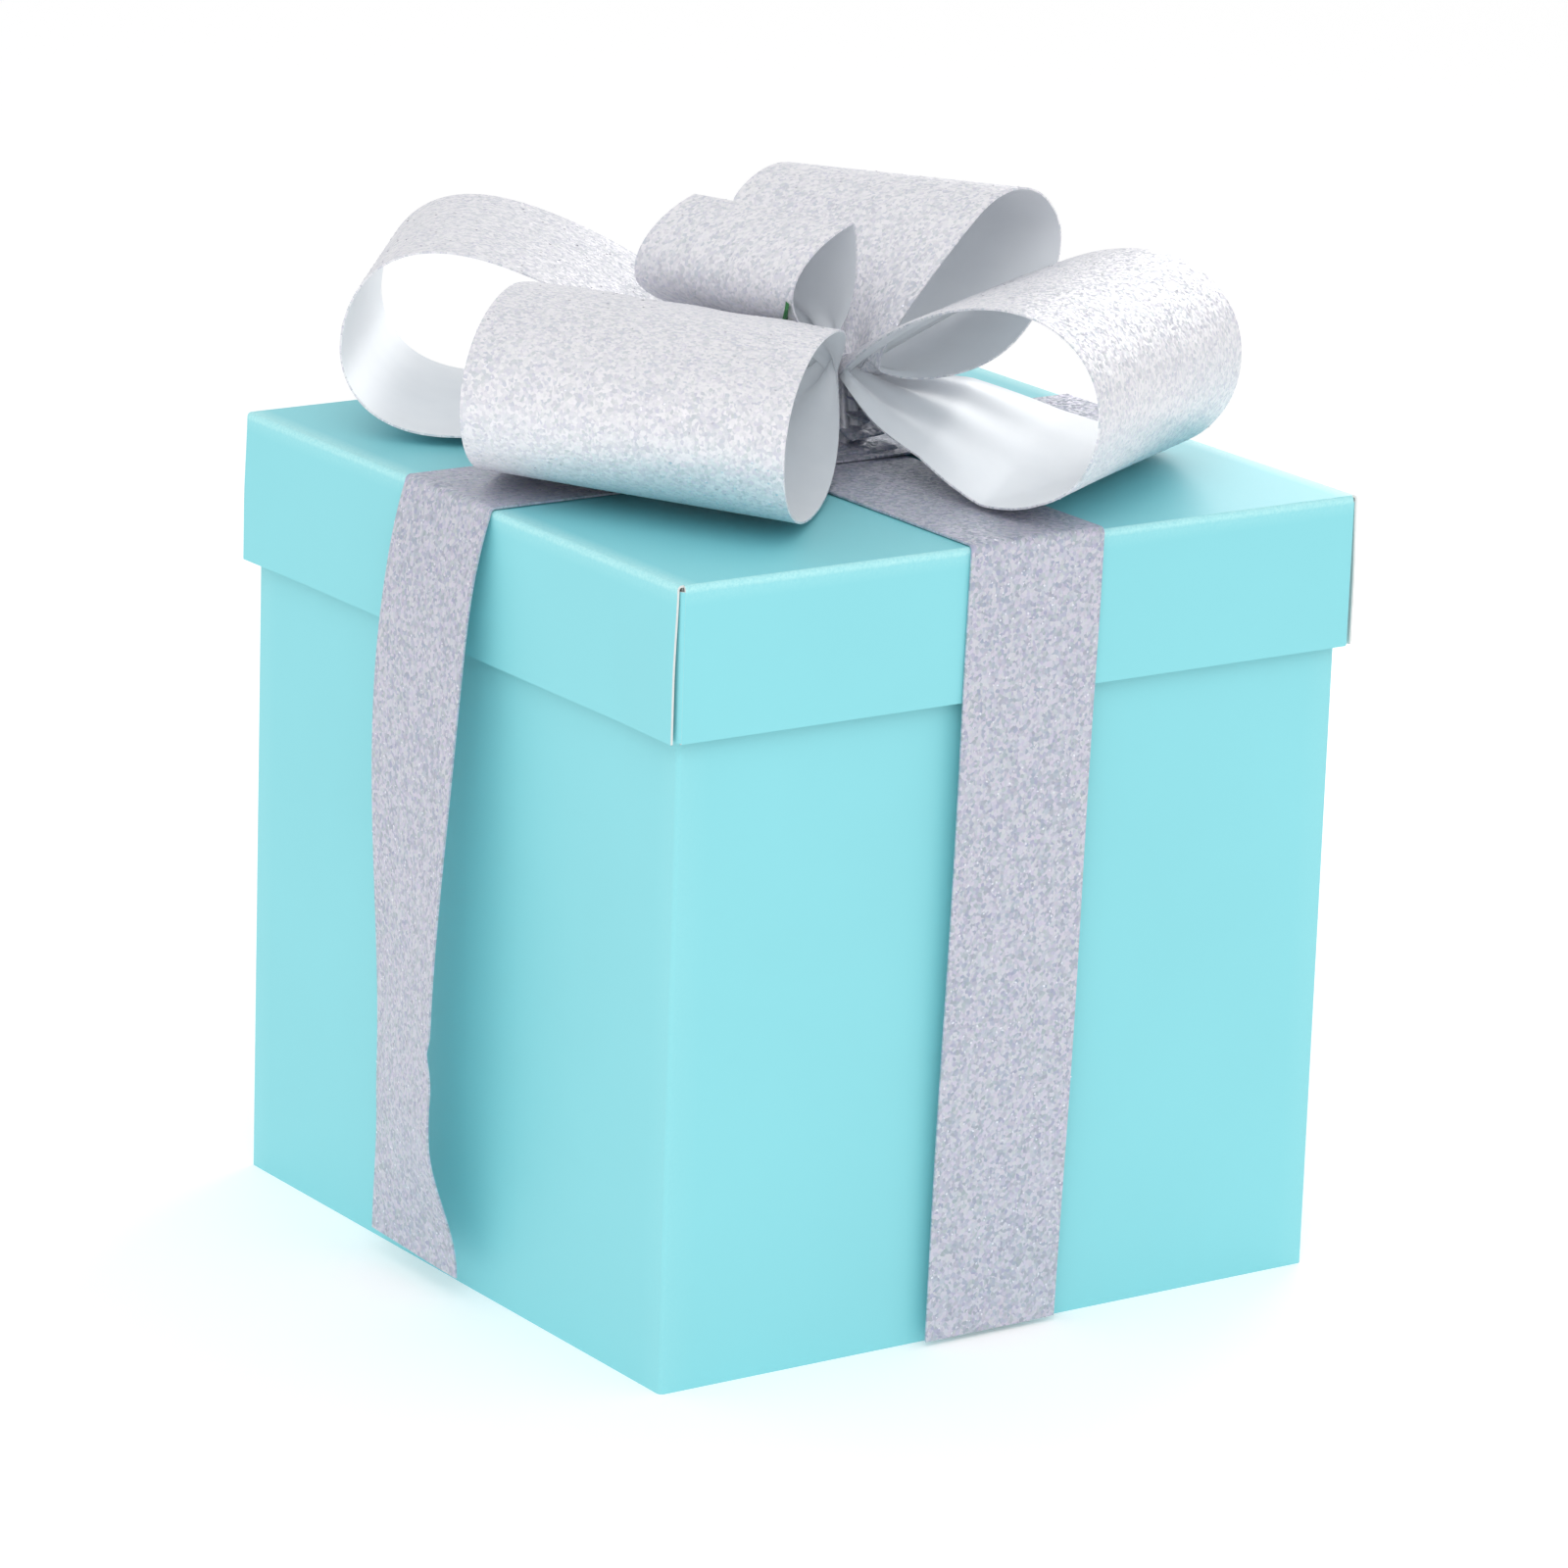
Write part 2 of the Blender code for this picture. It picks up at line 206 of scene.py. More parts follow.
@dataclass(frozen=True)
class CoatedBoard:
    """Folding boxboard with a dyed, matt aqueous coating: even, soft colour that pales at its creases, partly
    from cracked coating and partly as a painted highlight.
    """

    name: str = "matt_coated_aqua_board"
    colour: str = "8AD8E0"
    crease_wear_and_highlight: str = "B9F1F3"        # pale crease colour: the coating cracks along a crease and shows the white board, and the same paling paints the highlight that a fold catches
    cloud_size: float = 60 * MM    # slow unevenness of the printed colour
    cloud_gain: float = 1.07       # how much lighter the palest cloud is
    grain_size: float = 0.7 * MM   # calendered fibre grain, drawn a little coarse so that it shows
    grain_depth: float = 0.05 * MM
    cracks: tuple[float, float] = (0.35, 0.65)   # grain values between which a crease's coating has gone
    whole_share: float = 0.35      # paling where the coating of a crease is still whole: wear and painted highlight
    roughness: float = 0.5
    patchiness: float = 0.05       # how far the roughness strays either way
    ior: float = 1.47

    def build(self) -> bpy.types.Material:
        """Returns the board's material."""
        made, tree, place = start_material(self.name)
        cloud = add_node(tree, "ShaderNodeTexNoise",
                         {"Vector": place, "Scale": 1 / self.cloud_size, "Detail": 3.0})
        grain = add_node(tree, "ShaderNodeTexNoise",
                         {"Vector": place, "Scale": 1 / self.grain_size, "Detail": 4.0, "Roughness": 0.7})
        wear_and_highlight = add_node(tree, "ShaderNodeAttribute", attribute_name=CREASE)
        broken = add_node(tree, "ShaderNodeMapRange",
                          {"Value": grain.outputs["Fac"], "From Min": self.cracks[0],
                           "From Max": self.cracks[1], "To Min": self.whole_share})
        wear_and_highlight_share = add_node(tree, "ShaderNodeMath", {0: wear_and_highlight.outputs["Fac"], 1: broken.outputs["Result"]},
                        operation="MULTIPLY")
        pale = tuple(min(1.0, part * self.cloud_gain) for part in linear(self.colour))
        base = add_node(tree, "ShaderNodeMix",
                        {"Factor": cloud.outputs["Fac"], 6: linear(self.colour), 7: pale}, data_type="RGBA")
        # the creases are painted paler: partly cracked coating, partly a painted highlight
        colour = add_node(tree, "ShaderNodeMix",
                          {"Factor": wear_and_highlight_share.outputs[0], 6: base.outputs[2], 7: linear(self.crease_wear_and_highlight)},
                          data_type="RGBA")
        rough = add_node(tree, "ShaderNodeMapRange",
                         {"Value": grain.outputs["Fac"], "To Min": self.roughness - self.patchiness,
                          "To Max": self.roughness + self.patchiness})
        bump = add_node(tree, "ShaderNodeBump",
                        {"Height": grain.outputs["Fac"], "Strength": 0.10, "Distance": self.grain_depth})
        add_surface(tree, {"Base Color": colour.outputs[2], "Roughness": rough.outputs["Result"],
                           "IOR": self.ior, "Normal": bump.outputs["Normal"]})
        return made


@dataclass(frozen=True)
class RawBoard:
    """The uncoated white back and cut edges of the board: chalky, fibrous and fully matt."""

    name: str = "uncoated_white_board"
    light: str = "E9ECEA"
    dark: str = "D3D8D7"
    fibre_length: float = 1.6 * MM
    fibre_width: float = 0.35 * MM
    fibre_depth: float = 0.06 * MM
    roughness: float = 0.85

    def build(self) -> bpy.types.Material:
        """Returns the raw board's material."""
        made, tree, place = start_material(self.name)
        drawn = add_node(tree, "ShaderNodeMapping",
                         {"Vector": place, "Scale": (1 / self.fibre_width, 1 / self.fibre_width,
                                                     1 / self.fibre_length)})
        fibres = add_node(tree, "ShaderNodeTexNoise",
                          {"Vector": drawn.outputs[0], "Scale": 1.0, "Detail": 4.0})
        colour = add_node(tree, "ShaderNodeMix",
                          {"Factor": fibres.outputs["Fac"], 6: linear(self.dark), 7: linear(self.light)},
                          data_type="RGBA")
        bump = add_node(tree, "ShaderNodeBump",
                        {"Height": fibres.outputs["Fac"], "Strength": 0.25, "Distance": self.fibre_depth})
        add_surface(tree, {"Base Color": colour.outputs[2], "Roughness": self.roughness,
                           "Normal": bump.outputs["Normal"]})
        return made


@dataclass(frozen=True)
class GlitterCloth:
    """Ribbon faced with glued glitter: a mottled silver-lavender ground of tiny tilted mirrors."""

    name: str
    ground: str                    # colour between the flakes
    flake: str                     # colour of most flakes
    flake_size: float = 0.9 * MM   # real flakes are about 0.4 mm, drawn coarser so that they show
    clump_size: float = 3.2 * MM   # flakes lie thicker in some places than in others
    flake_depth: float = 0.10 * MM
    covered: tuple[float, float] = (0.45, 1.35)   # pattern values from bare ground to all flakes
    tint: float = 0.07             # share of stray hues that the flakes split the light into
    tilt: float = 0.27             # how far the flakes' mirrors lean off the cloth
    metallic: float = 0.2
    roughness: float = 0.45

    def build(self) -> bpy.types.Material:
        """Returns the glitter's material, which follows the ribbon's own UV map."""
        made, tree, place = start_material(self.name, on_ribbon=True)
        flakes = add_node(tree, "ShaderNodeTexVoronoi", {"Vector": place, "Scale": 1 / self.flake_size})
        clumps = add_node(tree, "ShaderNodeTexNoise",
                          {"Vector": place, "Scale": 1 / self.clump_size, "Detail": 5.0, "Roughness": 0.75})
        tones = add_node(tree, "ShaderNodeSeparateColor", {"Color": flakes.outputs["Color"]})
        pattern = add_node(tree, "ShaderNodeMath",
                           {0: tones.outputs["Red"], 1: clumps.outputs["Fac"]}, operation="ADD")
        share = add_node(tree, "ShaderNodeMapRange",
                         {"Value": pattern.outputs[0], "From Min": self.covered[0],
                          "From Max": self.covered[1]})
        ground = add_node(tree, "ShaderNodeMix",
                          {"Factor": share.outputs["Result"], 6: linear(self.ground), 7: linear(self.flake)},
                          data_type="RGBA")
        tinted = add_node(tree, "ShaderNodeMix",
                          {"Factor": self.tint, 6: ground.outputs[2], 7: flakes.outputs["Color"]},
                          data_type="RGBA", blend_type="OVERLAY")
        lean = add_node(tree, "ShaderNodeVectorMath",
                        {0: flakes.outputs["Color"], 1: (0.5, 0.5, 0.5)}, operation="SUBTRACT")
        scaled = add_node(tree, "ShaderNodeVectorMath", {0: lean.outputs[0], 3: self.tilt},
                          operation="SCALE")
        flat = add_node(tree, "ShaderNodeNewGeometry")
        summed = add_node(tree, "ShaderNodeVectorMath",
                          {0: flat.outputs["Normal"], 1: scaled.outputs[0]}, operation="ADD")
        normal = add_node(tree, "ShaderNodeVectorMath", {0: summed.outputs[0]}, operation="NORMALIZE")
        bump = add_node(tree, "ShaderNodeBump",
                        {"Height": flakes.outputs["Distance"], "Strength": 0.2, "Distance": self.flake_depth,
                         "Normal": normal.outputs[0]}, invert=True)
        add_surface(tree, {"Base Color": tinted.outputs[2], "Metallic": self.metallic,
                           "Roughness": self.roughness, "Normal": bump.outputs["Normal"]})
        return made


@dataclass(frozen=True)
class SatinBack:
    """The ribbon's woven polyester back: smooth pearl white with a soft sheen and faint cross ribs."""

    name: str = "pearl_satin_back"
    colour: str = "F3F6F9"
    shade: str = "E8ECF1"
    rib: float = 3.1416 * MM       # the real weft, about 0.25 mm, doesn't show, so it is drawn this coarse
    rib_depth: float = 0.05 * MM
    cloud_size: float = 14 * MM    # slow shading where the cloth isn't quite flat
    roughness: float = 0.42
    sheen: float = 0.3

    def build(self) -> bpy.types.Material:
        """Returns the satin's material, which follows the ribbon's own UV map."""
        made, tree, place = start_material(self.name, on_ribbon=True)
        weft = add_node(tree, "ShaderNodeTexWave",
                        {"Vector": place, "Scale": WAVE_REPEAT / self.rib, "Distortion": 0.6, "Detail": 1.0},
                        bands_direction="Y")
        cloud = add_node(tree, "ShaderNodeTexNoise", {"Vector": place, "Scale": 1 / self.cloud_size})
        colour = add_node(tree, "ShaderNodeMix",
                          {"Factor": cloud.outputs["Fac"], 6: linear(self.shade), 7: linear(self.colour)},
                          data_type="RGBA")
        bump = add_node(tree, "ShaderNodeBump",
                        {"Height": weft.outputs["Fac"], "Strength": 0.12, "Distance": self.rib_depth})
        add_surface(tree, {"Base Color": colour.outputs[2], "Roughness": self.roughness,
                           "Sheen Weight": self.sheen, "Normal": bump.outputs["Normal"]})
        return made


@dataclass(frozen=True)
class FoilFlake:
    """One loose flake of metallised film: a soft mirror that turns white or dark as it leans."""

    name: str = "metallised_film_flake"
    colour: str = "E8E9F2"
    tint: float = 0.10             # share of stray hues, which change from flake to flake
    tint_size: float = 1.2 * MM
    roughness: float = 0.32

    def build(self) -> bpy.types.Material:
        """Returns the flakes' material."""
        made, tree, place = start_material(self.name)
        tint = add_node(tree, "ShaderNodeTexNoise", {"Vector": place, "Scale": 1 / self.tint_size})
        colour = add_node(tree, "ShaderNodeMix",
                          {"Factor": self.tint, 6: linear(self.colour), 7: tint.outputs["Color"]},
                          data_type="RGBA", blend_type="OVERLAY")
        add_surface(tree, {"Base Color": colour.outputs[2], "Metallic": 1.0, "Roughness": self.roughness})
        return made


@dataclass(frozen=True)
class TieCoat:
    """The twist tie's green plastic coat: deep bottle green with a dull shine and small scuffs."""

    name: str = "green_tie_plastic"
    colour: str = "1E6A34"
    scuffed: str = "3A8A4C"
    scuff_size: float = 0.8 * MM
    roughness: float = 0.4

    def build(self) -> bpy.types.Material:
        """Returns the tie's material."""
        made, tree, place = start_material(self.name)
        scuffs = add_node(tree, "ShaderNodeTexNoise",
                          {"Vector": place, "Scale": 1 / self.scuff_size, "Detail": 3.0})
        share = add_node(tree, "ShaderNodeMapRange",
                         {"Value": scuffs.outputs["Fac"], "From Min": 0.5, "From Max": 0.75, "To Max": 0.5})
        colour = add_node(tree, "ShaderNodeMix",
                          {"Factor": share.outputs["Result"], 6: linear(self.colour),
                           7: linear(self.scuffed)}, data_type="RGBA")
        add_surface(tree, {"Base Color": colour.outputs[2], "Roughness": self.roughness})
        return made


@dataclass(frozen=True)
class Paper:
    """Plain white studio paper that the box stands on."""

    name: str = "white_sweep_paper"
    colour: str = "FDFDFD"
    roughness: float = 0.9
    glow: float = 0.17             # light that comes up through the paper

    def build(self) -> bpy.types.Material:
        """Returns the paper's material."""
        made, tree, _ = start_material(self.name)
        add_surface(tree, {"Base Color": linear(self.colour), "Roughness": self.roughness,
                           "Emission Color": linear(self.colour), "Emission Strength": self.glow})
        return made


@dataclass
class Finishes:
    """Every material of the gift box, made once."""

    board: bpy.types.Material = field(default_factory=lambda: CoatedBoard().build())
    raw: bpy.types.Material = field(default_factory=lambda: RawBoard().build())
    strap: bpy.types.Material = field(
        default_factory=lambda: GlitterCloth("silver_glitter_strap", "A7A9B8", "CBCDD9").build())
    bow: bpy.types.Material = field(
        default_factory=lambda: GlitterCloth("silver_glitter_bow", "D0D0D9", "EEEEF2").build())
    satin: bpy.types.Material = field(default_factory=lambda: SatinBack().build())
    flake: bpy.types.Material = field(default_factory=lambda: FoilFlake().build())
    tie: bpy.types.Material = field(default_factory=lambda: TieCoat().build())

    def board_sides(self) -> list[bpy.types.Material]:
        """Returns the materials of a board panel, in the order of Side."""
        return [self.board, self.raw, self.raw]

    def strap_sides(self) -> list[bpy.types.Material]:
        """Returns the materials of the ribbon round the box, in the order of Side."""
        return [self.strap, self.satin, self.strap]

    def bow_sides(self) -> list[bpy.types.Material]:
        """Returns the materials of the bow's ribbon, in the order of Side."""
        return [self.bow, self.satin, self.bow]


# ---------------------------------------------------------------- thin sheets

@dataclass
class ThinSheet:
    """A closed sheet of even thickness round a grid of middle points.

    The outer side is the one that rows cross columns points to.
    """

    name: str
    middles: np.ndarray            # rows x columns x 3
    thickness: float
    materials: list[bpy.types.Material]
    ring: bool = False             # whether the last row meets the first
    crease: np.ndarray | None = None   # rows x columns, 1 on a crease: how pale the board is painted there, for crease wear and a painted highlight

    def normals(self) -> np.ndarray:
        """Returns the outward direction at each grid point."""
        grid = self.middles
        if self.ring:
            along = np.roll(grid, -1, axis=0) - np.roll(grid, 1, axis=0)
        else:
            along = np.gradient(grid, axis=0)
        across = np.gradient(grid, axis=1)
        found = np.cross(along, across)
        length = np.linalg.norm(found, axis=-1, keepdims=True)
        return found / np.maximum(length, 1e-12)

    def quads(self) -> tuple[np.ndarray, np.ndarray]:
        """Returns every face's corners, and its Side number."""
        rows, columns = self.middles.shape[:2]
        number = np.arange(rows * columns).reshape(rows, columns)
        if self.ring:
            number = np.vstack([number, number[:1]])
        a, b, c, d = number[:-1, :-1], number[1:, :-1], number[1:, 1:], number[:-1, 1:]
        top = np.stack([a, b, c, d], -1).reshape(-1, 4)
        low = rows * columns
        parts = [top, top[:, ::-1] + low]
        first, last = number[:, 0], number[:, -1]
        rims = [np.stack([first[:-1], first[:-1] + low, first[1:] + low, first[1:]], -1),
                np.stack([last[:-1], last[1:], last[1:] + low, last[:-1] + low], -1)]
        if not self.ring:
            start, end = number[0], number[-1]
            rims += [np.stack([start[:-1], start[1:], start[1:] + low, start[:-1] + low], -1),
                     np.stack([end[:-1], end[:-1] + low, end[1:] + low, end[1:]], -1)]
        rim = np.concatenate(rims)
        sides = [Side.OUTER.value] * len(top) + [Side.INNER.value] * len(top) + [Side.RIM.value] * len(rim)
        return np.concatenate(parts + [rim]), np.array(sides)

    def flat_places(self) -> np.ndarray:
        """Returns each grid point's place on the flat sheet: across it and along it, in metres."""
        grid = self.middles
        middle = grid.shape[1] // 2
        steps = np.linalg.norm(np.diff(grid[:, middle], axis=0), axis=-1)
        along = np.concatenate([[0.0], np.cumsum(steps)])
        widest = int(np.argmax(np.linalg.norm(grid[:, -1] - grid[:, 0], axis=-1)))
        steps = np.linalg.norm(np.diff(grid[widest], axis=0), axis=-1)
        across = np.concatenate([[0.0], np.cumsum(steps)])
        return np.stack(np.broadcast_arrays(across[None, :], along[:, None]), -1)

    def build(self) -> bpy.types.Object:
        """Makes the sheet's object.

        Returns:
            A mesh object at the origin, with the UV map and the crease attribute.
        """
        lift = self.normals() * (self.thickness / 2)
        points = np.concatenate([(self.middles + lift).reshape(-1, 3), (self.middles - lift).reshape(-1, 3)])
        corners, sides = self.quads()
        made = add_mesh(self.name, points.tolist(), corners.tolist(), self.materials)
        mesh = made.data
        mesh.polygons.foreach_set("material_index", sides.astype(np.int32))
        places = np.tile(self.flat_places().reshape(-1, 2), (2, 1))
        uv = mesh.uv_layers.new(name=RIBBON_UV)
        loops = np.empty(len(mesh.loops), np.int32)
        mesh.loops.foreach_get("vertex_index", loops)
        uv.data.foreach_set("uv", places[loops].astype(np.float32).ravel())
        wear_and_highlight = np.zeros(len(points)) if self.crease is None else np.tile(self.crease.reshape(-1), 2)
        mesh.attributes.new(CREASE, "FLOAT", "POINT").data.foreach_set("value", wear_and_highlight.astype(np.float32))
        shade(mesh)
        return made


# ---------------------------------------------------------------- geometry node trees

def new_tree(name: str, sockets: dict[str, str]) -> tuple[bpy.types.NodeTree, bpy.types.Node, dict[str, str]]:
    """Starts a geometry node tree that takes and gives geometry.

    Args:
        name: The tree's name.
        sockets: For each named input, its socket type.

    Returns:
        The tree, its group input node and the identifier of each named input.
    """
    tree = bpy.data.node_groups.new(name, "GeometryNodeTree")
    tree.interface.new_socket("Geometry", in_out="INPUT", socket_type="NodeSocketGeometry")
    tree.interface.new_socket("Geometry", in_out="OUTPUT", socket_type="NodeSocketGeometry")
    named = {key: tree.interface.new_socket(key, in_out="INPUT", socket_type=kind).identifier
             for key, kind in sockets.items()}
    return tree, add_node(tree, "NodeGroupInput"), named


def run_tree(carrier: bpy.types.Object, tree: bpy.types.NodeTree, values: dict[str, object],
             name: str) -> bpy.types.Object:
    """Runs a geometry node tree on a carrier and keeps the result as a plain mesh.

    Args:
        carrier: The object whose geometry goes in. It is left without a modifier.
        tree: The node tree.
        values: For each input's identifier, its value.
        name: The new piece's name.

    Returns:
        The new mesh object, at the origin.
    """
    modifier = carrier.modifiers.new("maker", "NODES")
    modifier.node_group = tree
    for identifier, value in values.items():
        modifier[identifier] = value
    graph = bpy.context.evaluated_depsgraph_get()
    mesh = bpy.data.meshes.new_from_object(carrier.evaluated_get(graph), depsgraph=graph)
    mesh.name = name
    carrier.modifiers.remove(modifier)
    return add_object(name, mesh)


@dataclass
class FlakeScatter:
    """Loose glitter flakes that stand proud of a ribbon's outer side, each a low six-sided pyramid."""

    finish: bpy.types.Material
    radius: float = 0.34 * MM      # real flakes are about 0.2 mm, drawn larger so that they show
    height: float = 0.08 * MM
    per_square_metre: float = 50000.0
    tilt: float = 0.4              # most lean off the cloth, radians
    smallest: float = 0.6          # sizes of the smallest and largest flake, as shares of the radius
    largest: float = 1.25
    tree: bpy.types.NodeTree = field(init=False)
    names: dict[str, str] = field(init=False)

    def __post_init__(self) -> None:
        """Builds the node tree once."""
        kinds = {"Density": "NodeSocketFloat", "Radius": "NodeSocketFloat", "Height": "NodeSocketFloat",
                 "Tilt": "NodeSocketFloat", "Seed": "NodeSocketInt", "Finish": "NodeSocketMaterial"}
        tree, given, self.names = new_tree("scatter_flakes", kinds)
        index = add_node(tree, "GeometryNodeInputMaterialIndex")
        outer = add_node(tree, "FunctionNodeCompare", {2: index.outputs[0], 3: Side.OUTER.value},
                         data_type="INT", operation="EQUAL")
        points = add_node(tree, "GeometryNodeDistributePointsOnFaces",
                          {"Mesh": given.outputs["Geometry"], "Selection": outer.outputs[0],
                           "Density": given.outputs["Density"], "Seed": given.outputs["Seed"]})
        lowest = add_node(tree, "ShaderNodeMath", {0: given.outputs["Tilt"], 1: -1.0}, operation="MULTIPLY")
        least = add_node(tree, "ShaderNodeCombineXYZ", {0: lowest.outputs[0], 1: lowest.outputs[0], 2: -pi})
        most = add_node(tree, "ShaderNodeCombineXYZ",
                        {0: given.outputs["Tilt"], 1: given.outputs["Tilt"], 2: pi})
        turn = add_node(tree, "FunctionNodeRandomValue",
                        {0: least.outputs[0], 1: most.outputs[0], "Seed": given.outputs["Seed"]},
                        data_type="FLOAT_VECTOR")
        lean = add_node(tree, "FunctionNodeEulerToRotation", {0: turn.outputs[0]})
        facing = add_node(tree, "FunctionNodeRotateRotation",
                          {0: points.outputs["Rotation"], 1: lean.outputs[0]}, rotation_space="LOCAL")
        flake = add_node(tree, "GeometryNodeMeshCone",
                         {"Vertices": 6, "Radius Bottom": given.outputs["Radius"],
                          "Depth": given.outputs["Height"]})
        size = add_node(tree, "FunctionNodeRandomValue", {2: self.smallest, 3: self.largest},
                        data_type="FLOAT")
        copies = add_node(tree, "GeometryNodeInstanceOnPoints",
                          {"Points": points.outputs["Points"], "Instance": flake.outputs["Mesh"],
                           "Rotation": facing.outputs[0], "Scale": size.outputs[1]})
        real = add_node(tree, "GeometryNodeRealizeInstances", {0: copies.outputs[0]})
        dressed = add_node(tree, "GeometryNodeSetMaterial",
                           {"Geometry": real.outputs[0], "Material": given.outputs["Finish"]})
        add_node(tree, "NodeGroupOutput", {"Geometry": dressed.outputs[0]})
        self.tree = tree

    def scatter(self, ribbon: bpy.types.Object, seed: int) -> bpy.types.Object:
        """Scatters flakes over a ribbon.

        Args:
            ribbon: The ribbon's finished sheet.
            seed: A fixed number that places the flakes.

        Returns:
            The flakes as one mesh object.
        """
        values = {"Density": self.per_square_metre, "Radius": self.radius, "Height": self.height,
                  "Tilt": self.tilt, "Seed": seed, "Finish": self.finish}
        ids = {self.names[key]: value for key, value in values.items()}
        return run_tree(ribbon, self.tree, ids, ribbon.name + "_flakes")


# ---------------------------------------------------------------- shared sizes

FRONT_WALL, LID_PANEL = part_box("base_wall_front"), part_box("lid_top_panel")
LOWER_BAND, UPPER_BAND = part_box("ribbon_band_front_back"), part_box("ribbon_band_left_right")


@dataclass(frozen=True)
class Sizes:
    """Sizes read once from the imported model."""

    board: float = 0.6 * MM
    ribbon: float = 0.5 * MM
    base_half: float = FRONT_WALL[1].x
    base_top: float = FRONT_WALL[1].z
    lid_half: float = LID_PANEL[1].x
    lid_top: float = LID_PANEL[1].z
    skirt_bottom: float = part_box("lid_skirt_front")[0].z
    band_middle_z: float = (LOWER_BAND[0].z + LOWER_BAND[1].z) / 2
    band_x: float = (LOWER_BAND[0].x + LOWER_BAND[1].x) / 2
    band_y: float = (UPPER_BAND[0].y + UPPER_BAND[1].y) / 2
    band_half: float = (LOWER_BAND[1].x - LOWER_BAND[0].x) / 2
    band_top: float = UPPER_BAND[1].z
    fall_clear: float = 0.6 * MM   # from a skirt's face to the middle of the ribbon that hangs over it

    @property
    def fall_plane(self) -> float:
        """How far out the middle of a fall's thickness hangs."""
        return self.lid_half + self.fall_clear


def dress_raw(nodes: list[str], raw: bpy.types.Material) -> None:
    """Gives CAD nodes whose shape is right the raw board.

    Args:
        nodes: The nodes' names.
        raw: The raw board's material.
    """
    for name in nodes:
        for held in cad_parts[name].material_slots:
            held.material = raw
        LOG.info("%s: raw board", name)


def finish_piece(piece: bpy.types.Object, body: Body, nodes: tuple[str, ...] = ()) -> None:
    """Hands a finished piece over: its body and the nodes that it stands for.

    Args:
        piece: The finished object.
        body: The body that it rides on.
        nodes: CAD nodes that are hidden because this piece stands for them.
    """
    if nodes:
        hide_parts(*nodes)
    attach(piece, body.value)
    LOG.info("%s: %d faces on %s", piece.name, len(piece.data.polygons), body.value)


# ---------------------------------------------------------------- base

@dataclass
class Base:
    """The tray: one creased sleeve of four walls over folded floor flaps."""

    sizes: Sizes
    finishes: Finishes
    corner_radius: float = 1.1 * MM
    hollow: float = 0.5 * MM       # how far each wall pulls in at its middle
    corner_wear_and_highlight: float = 0.12      # crease wear and painted highlight at the corners: the corners are scored, not folded hard, so the coating hardly cracks
    rows_up: int = 30
    wall_steps: int = 25
    corner_steps: int = 6

    def plan(self) -> tuple[np.ndarray, np.ndarray]:
        """Returns the sleeve's middle line in plan, anticlockwise from above, and where it is creased."""
        half = self.sizes.base_half - self.sizes.board / 2
        flat, radius = half - self.corner_radius, self.corner_radius
        points, crease_wear_and_highlight = [], []
        for quarter in range(4):
            turn = Matrix.Rotation(quarter * pi / 2, 2)
            for i in range(self.wall_steps):
                along = -flat + 2 * flat * i / self.wall_steps
                points.append(turn @ Vector((along, -half)))
                crease_wear_and_highlight.append(float(i == 0))
            for i in range(self.corner_steps):
                angle = -pi / 2 + pi / 2 * i / self.corner_steps
                points.append(turn @ Vector((flat + radius * cos(angle), -flat + radius * sin(angle))))
                crease_wear_and_highlight.append(1.0)
        return np.array(points), np.array(crease_wear_and_highlight)

    def build_sleeve(self) -> None:
        """Makes the four walls as one folded sheet."""
        plan, crease_wear_and_highlight = self.plan()
        heights = np.linspace(0.0, self.sizes.base_top, self.rows_up)
        half = self.sizes.base_half
        inward = plan * (1 - (plan[:, ::-1] / half) ** 2)
        grid = np.zeros((len(plan), len(heights), 3))
        for j, height in enumerate(heights):
            belly = self.hollow * sin(pi * height / self.sizes.base_top)
            grid[:, j, :2] = plan - inward / half * belly
            grid[:, j, 2] = height
        # paints the sleeve's corners paler: crease wear and a painted highlight
        wear_and_highlight = np.repeat(crease_wear_and_highlight[:, None], len(heights), axis=1) * self.corner_wear_and_highlight
        sheet = ThinSheet("base_sleeve", grid, self.sizes.board, self.finishes.board_sides(), ring=True,
                          crease=wear_and_highlight)
        nodes = tuple("base_wall_" + side for side in ("front", "back", "left", "right"))
        finish_piece(sheet.build(), Body.BASE, nodes)

    def build(self) -> None:
        """Builds the sleeve, and dresses the floor flaps and the glue flap."""
        self.build_sleeve()
        dress_raw([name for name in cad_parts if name.startswith("base_") and "flap" in name],
                  self.finishes.raw)


# ---------------------------------------------------------------- lid

TAB_TURN_STEPS, TAB_STEPS, TAB_ROWS = 7, 10, 12


